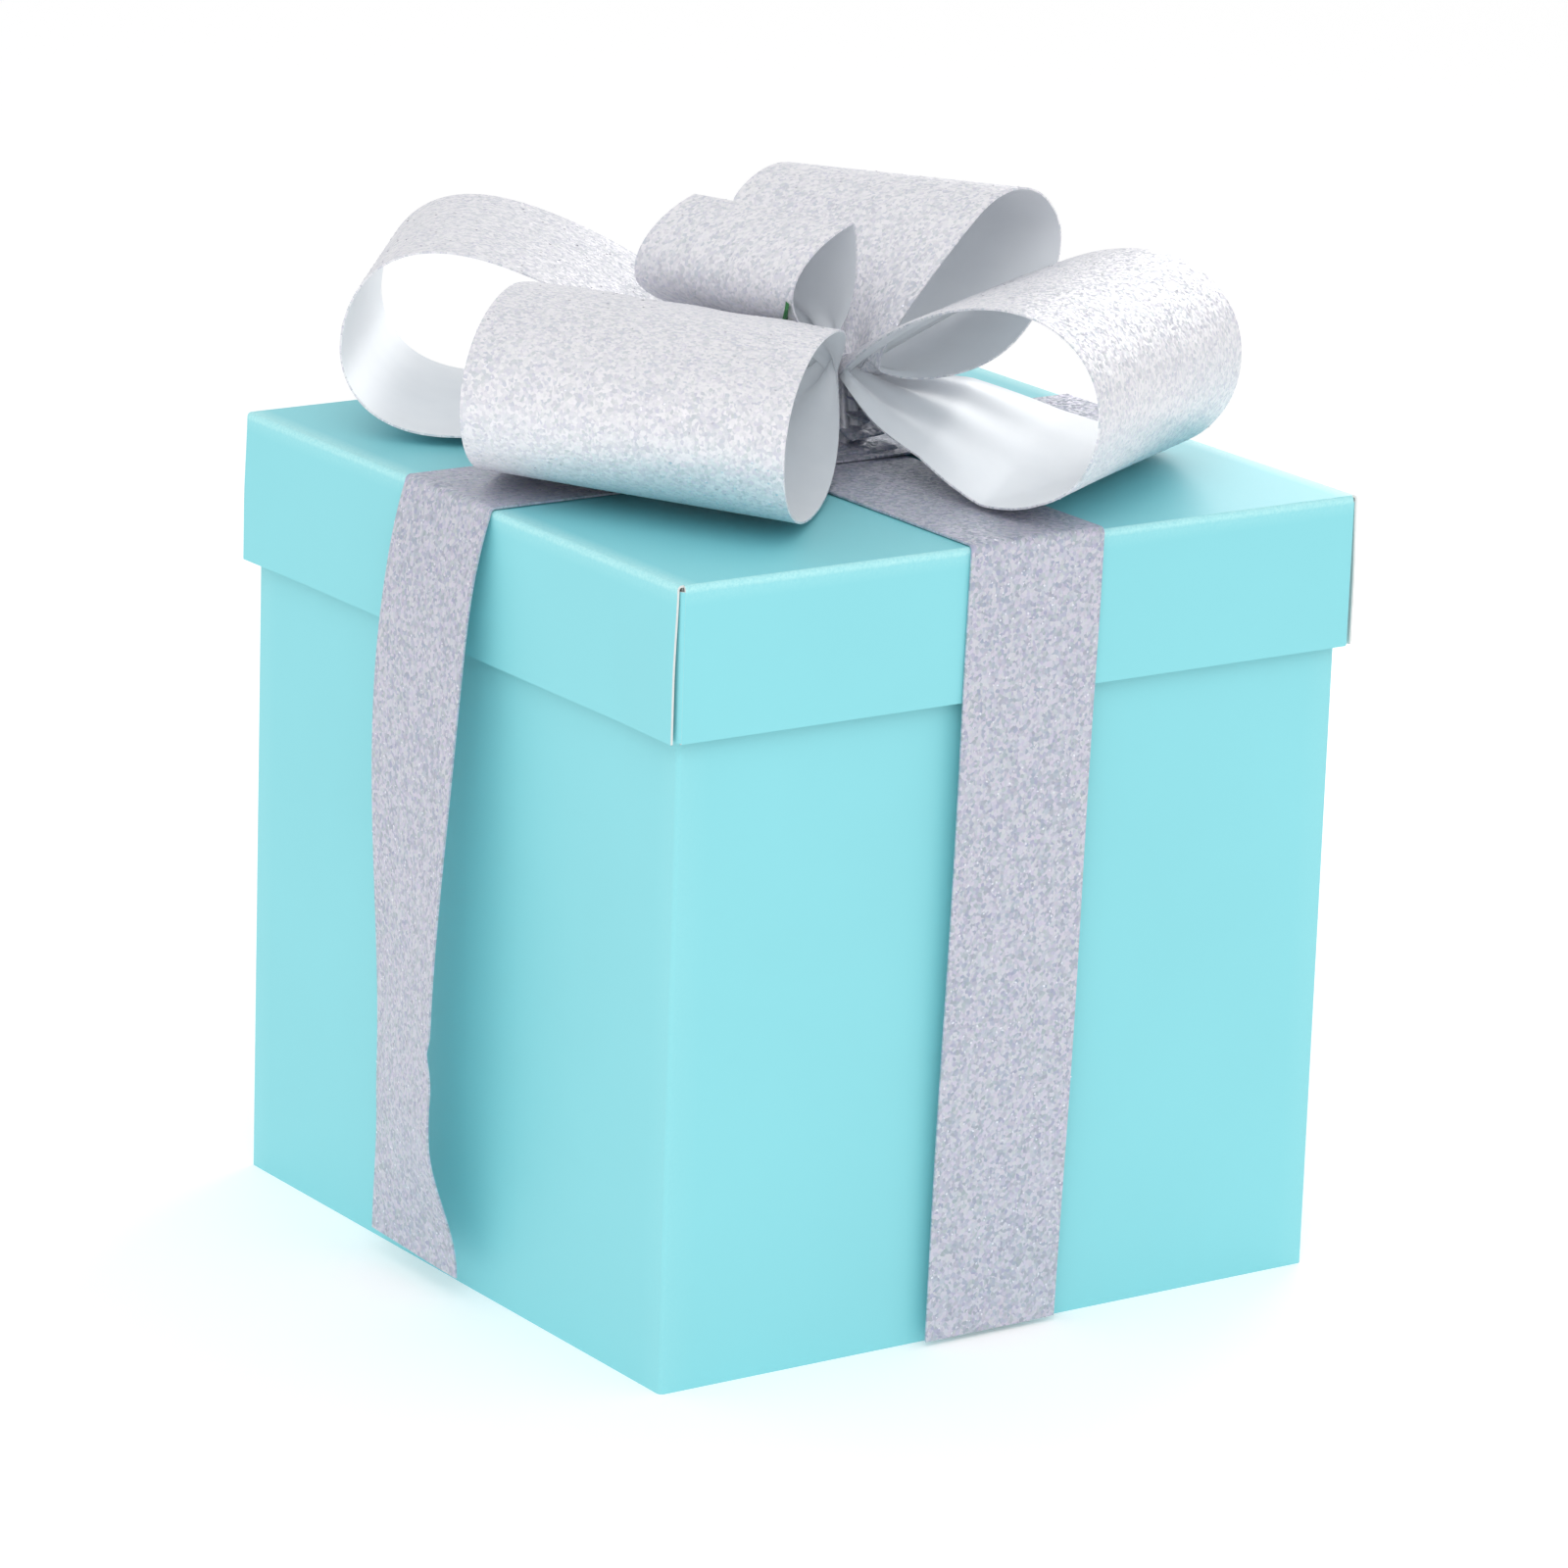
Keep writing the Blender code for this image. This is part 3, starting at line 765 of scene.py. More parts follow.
@dataclass
class Lid:
    """The lift-off lid: a top with four skirts folded down, and corner tabs tucked behind the side skirts."""

    sizes: Sizes
    finishes: Finishes
    fold_radius: float = 0.9 * MM
    fading_wear_and_highlight: float = 0.3       # crease wear and painted highlight just below the fold
    slit_wear_and_highlight: float = 0.6         # crease wear and painted highlight along a slit's edge
    slit_edge: float = 0.02 * MM
    slit: float = 0.9 * MM         # open line between a side skirt's end and the front skirt
    spring: float = 0.7 * MM       # how far a side skirt's ends spring out of line
    spring_share: float = 0.28     # share of a side skirt's half length that springs out
    spring_start: float = 1.6      # how soon down the skirt the spring is full
    tab_length: float = 31 * MM
    tab_taper: float = 6 * MM      # how much narrower each edge of a tab gets towards its end
    tab_drop: float = 1.6 * MM     # how far a tab's upper edge lies below the lid's top
    fold_steps: int = 6
    drop_steps: int = 12
    top_steps: int = 40
    length_rows: int = 41

    def fold_path(self, half: float) -> list[tuple[float, float, float]]:
        """Returns a section from the lid's top round the fold to the skirt's lower edge.

        Args:
            half: Distance from the lid's middle to the middle of the skirt's thickness.

        Returns:
            Distance out, height, and crease wear with painted highlight at each point.
        """
        radius = self.fold_radius
        top = self.sizes.lid_top - self.sizes.board / 2
        points = []
        for i in range(self.fold_steps + 1):
            angle = pi / 2 * i / self.fold_steps
            points.append((half - radius + radius * sin(angle), top - radius + radius * cos(angle), 1.0))
        below = top - 2 * radius
        points.append((half, below, self.fading_wear_and_highlight))
        for i in range(1, self.drop_steps + 1):
            points.append((half, below + (self.sizes.skirt_bottom - below) * i / self.drop_steps, 0.0))
        return points

    def build_top(self) -> bpy.types.Object:
        """Makes the top panel and the two side skirts, which run to the corners, as one folded sheet."""
        half = self.sizes.lid_half - self.sizes.board / 2
        down = self.fold_path(half)
        flat = [(half - self.fold_radius) * (1 - 2 * i / self.top_steps) for i in range(1, self.top_steps)]
        section = [(-out, height, wear_and_highlight) for out, height, wear_and_highlight in reversed(down)]
        section += [(-x, self.sizes.lid_top - self.sizes.board / 2, 0.0) for x in flat]
        section += down
        ends = half + self.sizes.board / 2 - self.slit
        places = np.linspace(ends, -ends, self.length_rows)
        grid = np.zeros((len(places), len(section), 3))
        wear_and_highlight = np.zeros(grid.shape[:2])
        depth = self.sizes.lid_top - self.sizes.skirt_bottom
        for i, y in enumerate(places):
            near_end = eased((abs(y) - (1 - self.spring_share) * ends) / (self.spring_share * ends))
            for j, (x, z, crease) in enumerate(section):
                on_skirt = abs(x) > half - CLEAR and crease == 0.0
                hang = eased((self.sizes.lid_top - z) / depth * self.spring_start)
                bulge = self.spring * near_end * hang if on_skirt else 0.0
                grid[i, j] = (x + np.sign(x) * bulge, y, z)
                wear_and_highlight[i, j] = crease
        return ThinSheet("lid_top_and_side_skirts", grid, self.sizes.board, self.finishes.board_sides(),
                         crease=wear_and_highlight).build()

    def build_end_skirt(self, sign: int, name: str) -> bpy.types.Object:
        """Makes the front or back skirt with the fold above it.

        Args:
            sign: -1 for the front, 1 for the back.
            name: The piece's name.

        Returns:
            The skirt's object.
        """
        half = self.sizes.lid_half - self.sizes.board / 2
        down = self.fold_path(half)
        inner = half + self.sizes.board / 2 - self.slit
        down.insert(0, (inner + self.slit_edge, self.sizes.lid_top - self.sizes.board / 2, self.slit_wear_and_highlight))
        down = sorted(down, key=lambda p: (-p[1], p[0]))
        side = half - self.sizes.board / 2 - CLEAR - self.fold_radius
        places = np.linspace(-side, side, self.length_rows)
        grid = np.zeros((len(places), len(down), 3))
        wear_and_highlight = np.zeros(grid.shape[:2])
        for i, x in enumerate(places):
            for j, (y, z, crease) in enumerate(down):
                grid[i, j] = (sign * x, sign * y, z)
                wear_and_highlight[i, j] = crease
        return ThinSheet(name, grid, self.sizes.board, self.finishes.board_sides(), crease=wear_and_highlight).build()

    def build_tab(self, x_sign: int, y_sign: int, name: str) -> bpy.types.Object:
        """Makes a corner tab that turns the corner from an end skirt and tucks in behind a side skirt.

        Args:
            x_sign: -1 for the left, 1 for the right.
            y_sign: -1 for the front, 1 for the back.
            name: The piece's name.

        Returns:
            The tab's object.
        """
        half = self.sizes.lid_half - self.sizes.board / 2
        plane = half - self.sizes.board - CLEAR
        radius = self.fold_radius
        path = []
        for i in range(TAB_TURN_STEPS + 1):
            angle = pi / 2 * i / TAB_TURN_STEPS
            path.append((plane - radius + radius * sin(angle), half - radius + radius * cos(angle)))
        for i in range(1, TAB_STEPS + 1):
            path.append((plane, half - radius - (self.tab_length - radius) * i / TAB_STEPS))
        rows = np.linspace(0.0, 1.0, TAB_ROWS)
        grid = np.zeros((len(path), len(rows), 3))
        for i, (x, y) in enumerate(path):
            taper = self.tab_taper * max(0.0, (half - radius - y) / self.tab_length)
            low = self.sizes.skirt_bottom + CLEAR + taper
            high = self.sizes.lid_top - self.tab_drop - taper
            for j, share in enumerate(rows):
                grid[i, j] = (x_sign * x, y_sign * y, low + (high - low) * share)
        if x_sign * y_sign > 0:
            grid = grid[:, ::-1]
        return ThinSheet(name, grid, self.sizes.board, self.finishes.board_sides()).build()

    def build(self) -> None:
        """Builds the lid, and dresses the liners that are rolled in behind its side skirts."""
        finish_piece(self.build_top(), Body.LID,
                     ("lid_top_panel", "lid_skirt_left", "lid_skirt_right"))
        for sign, side in ((-1, "front"), (1, "back")):
            finish_piece(self.build_end_skirt(sign, f"lid_{side}_skirt_board"), Body.LID,
                         ("lid_skirt_" + side,))
            for x_sign, hand in ((-1, "left"), (1, "right")):
                node = f"lid_corner_tab_{side}_{hand}"
                finish_piece(self.build_tab(x_sign, sign, node + "_board"), Body.LID, (node,))
        dress_raw(["lid_liner_left", "lid_liner_right"], self.finishes.raw)


# ---------------------------------------------------------------- ribbon round the box

SPRING_RUN = 30 * MM           # length over which a fall swings out to its stand-off
TUCK_FROM = 0.80               # share of a fall's length where its end starts to come back in
TWIST_FROM, TWIST_RUN = 0.15, 0.6   # share of its length where a fall starts to twist, and the twist's length
UNTWIST_FROM = 0.82            # where it starts to turn back
RIPPLES, RIPPLE_LEAN = 9.0, 2.1     # radians of ripple down a fall's length, and across half its width
RIPPLE_START = 5               # the ripples are full after one in this many parts of the length
BAND_SINK = 0.05 * MM          # how far the upper band's face stays below the top of its solid


@dataclass(frozen=True)
class FallShape:
    """How one end of the ribbon hangs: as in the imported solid, but with bent edges and its own cut end."""

    side: str
    out: tuple[float, float]       # outward direction in plan
    middle: float                  # where the ribbon's middle crosses the lid's edge
    stand_off: float               # how far the middle of the fall hangs off the wall
    tuck: float                    # how far its cut end comes back in
    twist: float                   # degrees
    lean: float                    # how far it drifts sideways on the way down
    ripple: float = 0.0            # depth of the slow waves along the ribbon's edges
    gap: float = 0.8 * MM          # clearance between the cut end and the ground
    slant: float = 0.0             # how much lower one corner of the cut end is than the other
    nick: float = 0.0              # depth of the dent where one edge has been bent
    nick_place: tuple[float, float] = (0.70, 0.014)    # where down the fall, and how long, as shares of it
    swell_place: tuple[float, float] = (0.745, 0.022)  # the edge swells out again just below
    swell: float = 0.6             # the swelling's height as a share of the dent's depth

    def dent(self, share: float) -> float:
        """Returns how far in the bent edge lies at a share of the way down."""
        (nick, nick_run), (swell, swell_run) = self.nick_place, self.swell_place
        pressed = np.exp(-((share - nick) / nick_run) ** 2)
        return self.nick * (pressed - self.swell * np.exp(-((share - swell) / swell_run) ** 2))

    def away(self, below: float, share: float) -> float:
        """Returns how far off the wall the fall's middle hangs.

        Args:
            below: Distance below the fold.
            share: The same as a share of the fall's length.

        Returns:
            The distance, in metres.
        """
        sprung = self.stand_off * (1 - np.exp(-below / SPRING_RUN))
        return sprung - self.tuck * eased((share - TUCK_FROM) / (1 - TUCK_FROM))

    def turn(self, share: float) -> float:
        """Returns the ribbon's turn in radians: it twists on the way down and comes back at its end."""
        twisted = eased((share - TWIST_FROM) / TWIST_RUN)
        return radians(self.twist) * twisted * (1 - eased((share - UNTWIST_FROM) / (1 - UNTWIST_FROM)))

    def wave(self, share: float, place: float) -> float:
        """Returns how far the ribbon's edge ripples out.

        Args:
            share: How far down the fall.
            place: How far across it, -1 to 1.

        Returns:
            The distance, in metres.
        """
        swing = sin(RIPPLES * share + RIPPLE_LEAN * place)
        return self.ripple * swing * place * place * eased(share * RIPPLE_START)


@dataclass
class Straps:
    """The two bands that cross on the lid and the four falls that hang from them."""

    sizes: Sizes
    finishes: Finishes
    flakes: FlakeScatter
    fold_radius: float = 1.4 * MM
    lap: float = 7 * MM            # how much of the flat band each fall piece takes with it
    step_run: float = 7 * MM       # length of the ramp where the upper band climbs the lower one
    step_flat: float = 1.5 * MM    # how far past the lower band the upper one stays up
    lap_rows: int = 8
    fold_rows: int = 8
    hang_rows: int = 100
    crowding: float = 1.1          # above 1, a fall's rows lie closer together near the fold
    band_rows: int = 121
    columns: int = 15
    bend_above: float = 4 * MM     # how much of the ribbon bends on either side of a fall's hinge
    bend_below: float = 7 * MM
    band_seeds: tuple[int, int] = (11, 12)
    first_fall_seed: int = 21

    def shapes(self) -> list[FallShape]:
        """Returns the four falls."""
        x, y = self.sizes.band_x, self.sizes.band_y
        return [
            FallShape("front", (0, -1), x, 0.4 * MM, 0.0, 0.0, -5 * MM, 0.3 * MM, 1.4 * MM),
            FallShape("right", (1, 0), y, 3.0 * MM, 1.0 * MM, -4.0, 2 * MM, 0.5 * MM),
            FallShape("back", (0, 1), -x, 2.0 * MM, 1.0 * MM, 3.0, 2 * MM, 0.5 * MM),
            FallShape("left", (-1, 0), -y, 10.2 * MM, 4.5 * MM, 12.0, 0.0, 0.4 * MM, 7.2 * MM, 0.8 * MM,
                      1.3 * MM),
        ]

    def fall_rows(self, shape: FallShape) -> np.ndarray:
        """Returns the middle points of a fall, with the fold above it and the start of its band.

        Args:
            shape: The fall's shape.

        Returns:
            Rows down the ribbon, by columns across it.
        """
        out = np.array([*shape.out, 0.0])
        across = np.array([-shape.out[1], shape.out[0], 0.0])
        hinge_z, plane, radius = self.sizes.band_middle_z, self.sizes.fall_plane, self.fold_radius
        start = plane - radius - self.lap
        section = [(start + self.lap * i / self.lap_rows, hinge_z) for i in range(self.lap_rows)]
        for i in range(self.fold_rows + 1):
            angle = pi / 2 * i / self.fold_rows
            section.append((plane - radius + radius * sin(angle), hinge_z - radius + radius * cos(angle)))
        half = self.sizes.band_half
        places = np.linspace(-1, 1, self.columns)
        rows = [[out * reach + across * (shape.middle + p * half) + (0, 0, height) for p in places]
                for reach, height in section]
        length = hinge_z - shape.gap
        for i in range(1, self.hang_rows + 1):
            drop = radius + (length - radius) * (i / self.hang_rows) ** self.crowding
            share = drop / length
            away, turn, dent = shape.away(drop - radius, share), shape.turn(share), shape.dent(share)
            row = []
            for p in places:
                sideways = shape.middle + shape.lean * share + p * half * cos(turn) - dent * max(p, 0.0) ** 4
                reach = plane + max(away + p * half * sin(turn) + shape.wave(share, p), 0.0)
                height = hinge_z - drop - shape.slant * p * share ** 6
                row.append(out * reach + across * sideways + (0, 0, height))
            rows.append(row)
        return np.array(rows)

    def build_fall(self, shape: FallShape, seed: int) -> None:
        """Makes one fall, shaped with the fold above it, in place of its imported solid.

        Args:
            shape: The fall's shape.
            seed: A fixed number for its flakes.
        """
        node = "ribbon_fall_" + shape.side
        grid = self.fall_rows(shape)
        piece = ThinSheet(node + "_cloth", grid, self.sizes.ribbon, self.finishes.strap_sides()).build()
        flakes = self.flakes.scatter(piece, seed)
        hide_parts(node)
        for part in (piece, flakes):
            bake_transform(part)

    def build_band(self, front_back: bool, seed: int) -> None:
        """Makes one of the bands that lie on the lid.

        Args:
            front_back: True for the lower band, False for the one that climbs over it.
            seed: A fixed number for its flakes.
        """
        ends = self.sizes.fall_plane - self.fold_radius - self.lap
        along = np.linspace(-ends, ends, self.band_rows)
        across = np.linspace(-1, 1, self.columns) * self.sizes.band_half
        middle_z = self.sizes.band_middle_z
        if front_back:
            rows = [[(self.sizes.band_x + x, y, middle_z) for x in across[::-1]] for y in along]
        else:
            ramp_end = self.sizes.band_half + self.step_flat + self.step_run
            rise = self.sizes.band_top - self.sizes.ribbon / 2 - BAND_SINK - middle_z
            climbs = rise * eased((ramp_end - np.abs(along - self.sizes.band_x)) / self.step_run)
            rows = [[(x, self.sizes.band_y + y, middle_z + climb) for y in across]
                    for x, climb in zip(along, climbs)]
        name = "ribbon_band_" + ("front_back" if front_back else "left_right")
        piece = ThinSheet(name + "_cloth", np.array(rows), self.sizes.ribbon,
                          self.finishes.strap_sides()).build()
        flakes = self.flakes.scatter(piece, seed)
        finish_piece(piece, Body.HARNESS, (name,))
        finish_piece(flakes, Body.HARNESS)

    def build(self) -> None:
        """Builds the bands, then the falls."""
        for front_back, seed in zip((True, False), self.band_seeds):
            self.build_band(front_back, seed)
        for number, shape in enumerate(self.shapes()):
            self.build_fall(shape, self.first_fall_seed + number)


# ---------------------------------------------------------------- bow

@dataclass(frozen=True)
class LoopShape:
    """One loop of the bow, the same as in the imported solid, with its pleats."""

    name: str
    azimuth: float                 # direction of the tip in plan, degrees from +X
    lift: float                    # angle of the tip above the horizontal, degrees
    reach: float                   # length from the pinch to the tip
    rise: float                    # greatest height of the upper run above the loop's axis
    drop: float                    # greatest depth of the lower run below it
    roll: float                    # turn about the loop's axis, degrees
    skew: float                    # how far the ribbon's width leans along the axis
    round_tip: float               # higher values keep the two runs together for longer
    side_shift: float              # where the pinch sits across the width, -1 to 1
    width: float
    pinched: float                 # share of the width left at the pinch
    foot: tuple[float, float, float]
    kinks: tuple[tuple[float, float, float], ...] = ()   # creases across the ribbon: place, slant, depth
    kink_run: float = 0.07         # how far along the loop a kink reaches, as a share of its length
    pleats: float = 3.0            # folds across the ribbon where it is gathered
    pleat_depth: float = 2.0 * MM
    pleat_phase: float = 0.6       # sets the pleats off centre, radians
    open_at: float = 0.75          # how soon along the loop the ribbon has its full width
    end_gap: float = 0.004         # share of the loop left off at either end, inside the pinch

    def axes(self) -> tuple[np.ndarray, np.ndarray, np.ndarray]:
        """Returns the loop's outward, upward and widthwise directions."""
        azimuth, lift, roll = radians(self.azimuth), radians(self.lift), radians(self.roll)
        outward = np.array([cos(azimuth) * cos(lift), sin(azimuth) * cos(lift), sin(lift)])
        level = np.array([-sin(azimuth), cos(azimuth), 0.0])
        upright = np.cross(outward, level)
        widthwise = level * cos(roll) + upright * sin(roll)
        upward = upright * cos(roll) - level * sin(roll)
        return outward, upward, widthwise + outward * self.skew

    def rows(self, pinch: np.ndarray, stations: int, columns: int) -> np.ndarray:
        """Returns the middle points of the loop's ribbon.

        Args:
            pinch: The middle of the bow's pinch.
            stations: Rows along the ribbon.
            columns: Points across it.

        Returns:
            stations x columns x 3 points.
        """
        outward, upward, widthwise = self.axes()
        even = np.linspace(0.0, 1.0, stations)
        share = (self.end_gap + (1 - 2 * self.end_gap) * even)[:, None]
        across = np.linspace(-1, 1, columns)[None, :]
        turn = 2 * pi * share
        search = np.linspace(0.005, 0.495, 99)
        peak = (np.sin(2 * pi * search) * np.sin(pi * search) ** self.round_tip).max()
        height = np.where(share < 0.5, self.rise, self.drop) * np.sin(turn)
        height = height * np.maximum(np.sin(pi * share), 0.0) ** self.round_tip / peak
        spread = self.pinched + (1 - self.pinched) * eased(np.sin(pi * share) / self.open_at)
        sideways = (across * spread + self.side_shift * (spread - self.pinched)) * self.width / 2
        pleat = self.pleat_depth * (1 - spread) * np.cos(pi * self.pleats * across + self.pleat_phase)
        for place, slant, depth in self.kinks:
            off_kink = np.abs(share - place - slant * across)
            pleat = pleat + depth * np.maximum(1 - off_kink / self.kink_run, 0.0)
        middle = pinch + np.array(self.foot)
        grid = middle + outward * (self.reach * (1 - np.cos(turn)) / 2)[..., None]
        return grid + upward * (height + pleat)[..., None] + widthwise * sideways[..., None]


@dataclass
class Bow:
    """Five loops gathered into a pinch, over a stack of short crumpled folds."""

    sizes: Sizes
    finishes: Finishes
    flakes: FlakeScatter
    ribbon_width: float = 85.3 * MM
    pinch_top: float = 3.5 * MM    # how far the gathered middle stands above the pinch
    stations: int = 181
    columns: int = 33
    first_loop_seed: int = 31
    gather_foot: tuple[tuple[float, float], ...] = (
        (1.0, 7.6 * MM), (0.75, 6.6 * MM), (0.5, 5.2 * MM), (0.3, 4.2 * MM),
        (0.1, 3.3 * MM))           # share of the way from the pinch down to the bands, and radius there
    gather_head: tuple[tuple[float, float], ...] = (
        (0.0, 2.9 * MM), (1.8 * MM, 3.1 * MM), (3.2 * MM, 3.6 * MM))   # height above the pinch, and radius
    gather_pleats: int = 9
    gather_depth: float = 0.16     # depth of its pleats as a share of the radius
    gather_lean: float = 60.0      # how far the pleats turn on the way up, radians for each metre
    gather_lobes: float = 0.05     # how far it is from round, as a share of the radius
    gather_sides: int = 96
    gather_face: tuple[float, float] = (0.4 * MM, 3 * MM)   # each face's width and height on the flat ribbon
    folds: int = 4
    fold_rows: int = 41
    fold_columns: int = 15
    fold_azimuth: float = 262.0    # direction of the lowest fold, degrees from +X
    fold_fan: float = 19.0         # turn from one fold to the next, degrees
    fold_rise: float = 3.6 * MM
    fold_lift: float = 0.4         # height of the lowest fold as a share of the rise
    fold_offset: float = 2 * MM    # how far a fold's middle lies out from the pinch
    fold_half: tuple[float, float] = (12.5 * MM, 9.5 * MM)
    fold_shrink: float = 0.13      # how much smaller each fold is than the lowest, for each step up
    fold_waist: float = 0.35       # how much narrower a fold is at its middle
    fold_droop: float = 1.6 * MM
    fold_crumple: float = 0.5 * MM

    def pinch(self) -> np.ndarray:
        """Returns the middle of the pinch."""
        low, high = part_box("bow_gather")
        return np.array([(low.x + high.x) / 2, (low.y + high.y) / 2, high.z - self.pinch_top])

    def shapes(self) -> list[LoopShape]:
        """Returns the five loops."""
        wide = self.ribbon_width
        return [
            LoopShape("bow_loop_left", 225.1, 2.4, 0.1179, 0.0202, 0.0241, -1.7, 0.293, 0.53, -0.763,
                      wide, 0.091, (-0.0073, -0.0024, 0.0013)),
            LoopShape("bow_loop_back_left", 140.4, 2.8, 0.1188, 0.0257, 0.0216, 1.3, -0.029, 2.6, -0.40,
                      wide, 0.054, (-0.0041, 0.0075, -0.0025)),
            LoopShape("bow_loop_front", 273.5, 7.7, 0.1120, 0.0218, 0.0270, 2.9, -0.536, 0.98, 0.66,
                      wide, 0.076, (0.0004, -0.0010, -0.0007),
                      ((0.83, 0.03, 2.4 * MM), (0.70, -0.03, -1.6 * MM))),
            LoopShape("bow_loop_back_right", 21.3, 27.3, 0.0662, 0.0225, 0.0163, -3.2, -0.002, 0.30, 0.425,
                      0.0753, 0.276, (0.0010, -0.0002, 0.0006)),
            LoopShape("bow_loop_upright", 233.2, 70.0, 0.0352, 0.0020, 0.0218, -40.0, 0.270, 0.74, -0.824,
                      0.0550, 0.050, (-0.0026, 0.0007, 0.0067)),
        ]

    def build_loop(self, shape: LoopShape, seed: int) -> None:
        """Makes one loop of cloth with its flakes.

        Args:
            shape: The loop's shape.
            seed: A fixed number for its flakes.
        """
        grid = shape.rows(self.pinch(), self.stations, self.columns)
        piece = ThinSheet(shape.name + "_cloth", grid, self.sizes.ribbon, self.finishes.bow_sides()).build()
        flakes = self.flakes.scatter(piece, seed)
        finish_piece(piece, Body.HARNESS, (shape.name,))
        finish_piece(flakes, Body.HARNESS)

    def build_gather(self) -> None:
        """Makes the pleated middle of the bow, narrowest where the tie holds it."""
        low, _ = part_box("bow_gather")
        pinch = self.pinch()
        foot = low.z - pinch[2]
        profile = [(foot * share, radius) for share, radius in self.gather_foot] + list(self.gather_head)
        sides = self.gather_sides
        points, faces = [], []
        for height, radius in profile:
            for k in range(sides):
                angle = 2 * pi * k / sides
                pleat = self.gather_depth * cos(self.gather_pleats * angle + self.gather_lean * height)
                swell = 1 + pleat + self.gather_lobes * cos(3 * angle)
                points.append((pinch[0] + radius * swell * cos(angle), pinch[1] + radius * swell * sin(angle),
                               pinch[2] + height))
        for i in range(len(profile) - 1):
            for k in range(sides):
                n = (k + 1) % sides
                faces.append((i * sides + k, i * sides + n, (i + 1) * sides + n, (i + 1) * sides + k))
        top = (len(profile) - 1) * sides
        faces.append(tuple(reversed(range(sides))))
        faces.append(tuple(range(top, top + sides)))
        piece = add_mesh("bow_gather_cloth", points, faces, [self.finishes.bow])
        uv = piece.data.uv_layers.new(name=RIBBON_UV)
        for loop in piece.data.loops:
            i, k = divmod(loop.vertex_index, sides)
            uv.data[loop.index].uv = (k * self.gather_face[0], i * self.gather_face[1])
        shade(piece.data)
        finish_piece(piece, Body.HARNESS, ("bow_gather",))

    def build_fold(self, layer: int) -> None:
        """Makes one of the short crumpled folds of ribbon stacked between the bands and the pinch.

        Args:
            layer: Its number from the lowest.
        """
        turn = radians(self.fold_azimuth + self.fold_fan * layer)
        along, across = np.array([cos(turn), sin(turn), 0.0]), np.array([-sin(turn), cos(turn), 0.0])
        centre = self.pinch()
        centre[2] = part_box("bow_gather")[0].z + self.fold_rise * (layer + self.fold_lift)
        half_long, half_wide = (half * (1 - self.fold_shrink * layer) for half in self.fold_half)
        rows = []
        for s in np.linspace(-1, 1, self.fold_rows):
            waist = 1 - self.fold_waist * (1 - abs(s))
            row = []
            for p in np.linspace(-1, 1, self.fold_columns):
                height = self.fold_crumple * sin(5 * s + 3 * p + layer) * p - self.fold_droop * s * s
                row.append(centre + along * (half_long * s + self.fold_offset)
                           + across * half_wide * p * waist + (0, 0, height))
            rows.append(row)
        grid = np.array(rows)
        piece = ThinSheet(f"bow_fold_{layer + 1}_cloth", grid, self.sizes.ribbon,
                          [self.finishes.strap] * 3).build()
        finish_piece(piece, Body.HARNESS)

    def build(self) -> None:
        """Builds the gathered middle and its folds, then the loops."""
        self.build_gather()
        for layer in range(self.folds):
            self.build_fold(layer)
        for number, shape in enumerate(self.shapes()):
            self.build_loop(shape, self.first_loop_seed + number)


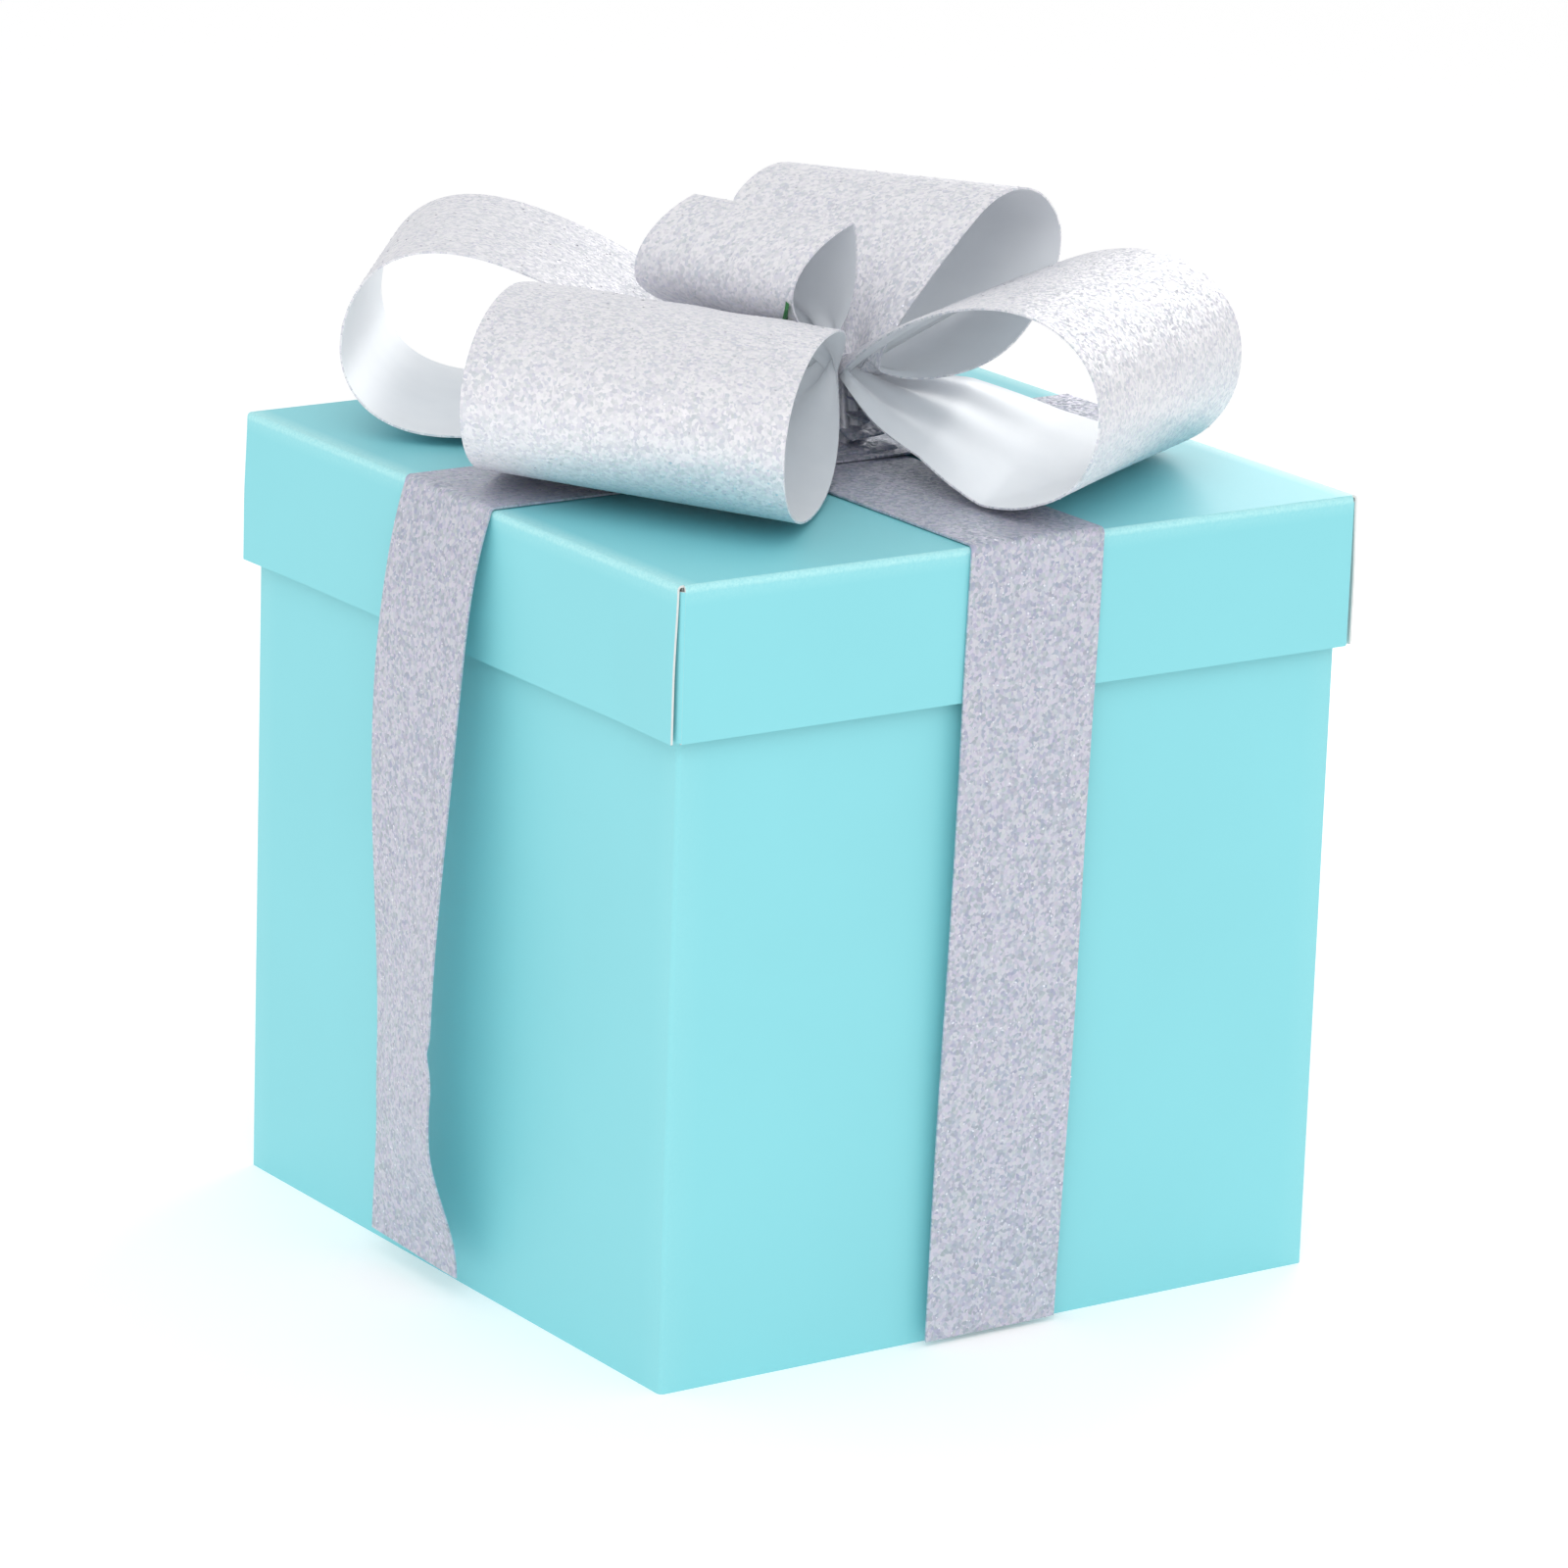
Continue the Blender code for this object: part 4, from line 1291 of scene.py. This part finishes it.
@dataclass
class TwistTie:
    """The tie's free end: a flat coated strip, twisted, that leans out of the pinch over the left loop."""

    finishes: Finishes
    width: float = 3.2 * MM
    thickness: float = 0.9 * MM
    turns: float = 0.4
    edge_radius: float = 0.35 * MM
    bends: tuple[tuple[float, float, float], ...] = (
        (3.0, -2.0, -2.0), (0.0, 0.0, 1.5), (-4.2, -5.3, 6.2), (-8.9, -12.7, 10.6),
        (-12.0, -17.1, 14.2), (-13.9, -20.0, 17.5))   # the strip's route from its foot, millimetres

    def tree(self) -> tuple[bpy.types.NodeTree, dict[str, str]]:
        """Returns the node tree that sweeps a flat strip along a curve while it turns, and its inputs."""
        kinds = {"Width": "NodeSocketFloat", "Thickness": "NodeSocketFloat", "Turns": "NodeSocketFloat",
                 "Finish": "NodeSocketMaterial"}
        tree, given, names = new_tree("twisted_strip", kinds)
        smooth = add_node(tree, "GeometryNodeResampleCurve",
                          {"Curve": given.outputs["Geometry"], "Count": 24})
        place = add_node(tree, "GeometryNodeSplineParameter")
        turned = add_node(tree, "ShaderNodeMath", {0: place.outputs["Factor"], 1: given.outputs["Turns"]},
                          operation="MULTIPLY")
        tilt = add_node(tree, "ShaderNodeMath", {0: turned.outputs[0], 1: 2 * pi}, operation="MULTIPLY")
        tilted = add_node(tree, "GeometryNodeSetCurveTilt",
                          {"Curve": smooth.outputs[0], "Tilt": tilt.outputs[0]})
        section = add_node(tree, "GeometryNodeCurvePrimitiveQuadrilateral",
                           {"Width": given.outputs["Width"], "Height": given.outputs["Thickness"]})
        rounded = add_node(tree, "GeometryNodeFilletCurve",
                           {"Curve": section.outputs[0], "Radius": self.edge_radius, "Count": 3}, mode="POLY")
        swept = add_node(tree, "GeometryNodeCurveToMesh",
                         {"Curve": tilted.outputs[0], "Profile Curve": rounded.outputs[0], "Fill Caps": True})
        real = add_node(tree, "GeometryNodeRealizeInstances", {0: swept.outputs[0]})
        dressed = add_node(tree, "GeometryNodeSetMaterial",
                           {"Geometry": real.outputs[0], "Material": given.outputs["Finish"]})
        add_node(tree, "NodeGroupOutput", {"Geometry": dressed.outputs[0]})
        return tree, names

    def build(self) -> None:
        """Builds the tie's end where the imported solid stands."""
        low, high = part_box("twist_tie")
        foot = Vector(((low.x + high.x) / 2, (low.y + high.y) / 2, low.z))
        route = [foot + Vector(bend) * MM for bend in self.bends]
        curve = bpy.data.curves.new("tie_route", "CURVE")
        curve.dimensions = "3D"
        spline = curve.splines.new("NURBS")
        spline.points.add(len(route) - 1)
        for point, place in zip(spline.points, route):
            point.co = (*place, 1.0)
        spline.use_endpoint_u = True
        carrier = add_object("tie_route", curve)
        tree, names = self.tree()
        values = {"Width": self.width, "Thickness": self.thickness, "Turns": self.turns,
                  "Finish": self.finishes.tie}
        ids = {names[key]: value for key, value in values.items()}
        piece = run_tree(carrier, tree, ids, "twist_tie_strip")
        bpy.data.objects.remove(carrier)
        shade(piece.data, 45.0)
        finish_piece(piece, Body.HARNESS, ("twist_tie",))


# ---------------------------------------------------------------- studio

@dataclass
class Studio:
    """The white sweep, the soft lights and the camera."""

    azimuth: float = -34.58        # degrees round from the front
    elevation: float = 15.82
    roll: float = 1.90
    distance: float = 1.876
    focal_length: float = 166.4    # millimetres on a 36 mm sensor
    sensor_width: float = 36.0
    aim: tuple[float, float, float] = (0.0, 0.0, 0.1173)
    paper_half: float = 6.0
    surround: float = 0.82         # brightness of the white all round

    def build_floor(self) -> None:
        """Makes the white paper that the box stands on."""
        size = self.paper_half
        corners = [(-size, -size, 0), (size, -size, 0), (size, size, 0), (-size, size, 0)]
        add_mesh("sweep", corners, [(0, 1, 2, 3)], [Paper().build()])

    def add_light(self, name: str, place: tuple[float, float, float], size: float, power: float,
                  target: tuple[float, float, float]) -> None:
        """Adds a square soft light.

        Args:
            name: The light's name.
            place: Where it stands.
            size: The length of its side.
            power: Watts.
            target: The point that it faces.
        """
        data = bpy.data.lights.new(name, "AREA")
        data.size = size
        data.energy = power
        lamp = add_object(name, data)
        lamp.location = place
        lamp.rotation_euler = (Vector(target) - Vector(place)).to_track_quat("-Z", "Y").to_euler()

    def build_lights(self) -> None:
        """Sets an even white surround, a soft fill, and a near key that pales the lid's right corner."""
        world = bpy.data.worlds.new("white_surround")
        world.use_nodes = True
        back = world.node_tree.nodes["Background"]
        back.inputs["Color"].default_value = (1, 1, 1, 1)
        back.inputs["Strength"].default_value = self.surround
        bpy.context.scene.world = world
        self.add_light("front_fill", (-0.95, -1.25, 1.65), size=1.3, power=10, target=self.aim)
        self.add_light("key_behind_right", (0.64, 0.40, 0.36), size=0.35, power=1.8,
                       target=(0.09, -0.06, 0.2))
        bpy.context.scene.view_settings.view_transform = "Standard"

    def build_camera(self) -> None:
        """Places the camera."""
        az, el, roll = radians(self.azimuth), radians(self.elevation), radians(self.roll)
        back = Vector((sin(az) * cos(el), -cos(az) * cos(el), sin(el)))
        right = Vector((cos(az), sin(az), 0.0))
        up = back.cross(right)
        turned_right = right * cos(roll) + up * sin(roll)
        turned_up = up * cos(roll) - right * sin(roll)
        data = bpy.data.cameras.new("camera")
        data.lens = self.focal_length
        data.sensor_width = self.sensor_width
        camera = add_object("camera", data)
        matrix = Matrix((turned_right, turned_up, back)).transposed().to_4x4()
        matrix.translation = Vector(self.aim) + back * self.distance
        camera.matrix_world = matrix
        bpy.context.scene.camera = camera

    def build(self) -> None:
        """Sets up the studio."""
        self.build_floor()
        self.build_lights()
        self.build_camera()


def main() -> None:
    """Builds the studio and the gift box."""
    logging.basicConfig(level=logging.INFO, format="%(name)s: %(message)s")
    sizes, finishes = Sizes(), Finishes()
    flakes = FlakeScatter(finishes.flake)
    Studio().build()
    Base(sizes, finishes).build()
    Lid(sizes, finishes).build()
    Straps(sizes, finishes, flakes).build()
    Bow(sizes, finishes, flakes).build()
    TwistTie(finishes).build()


if __name__ == "__main__":
    main()
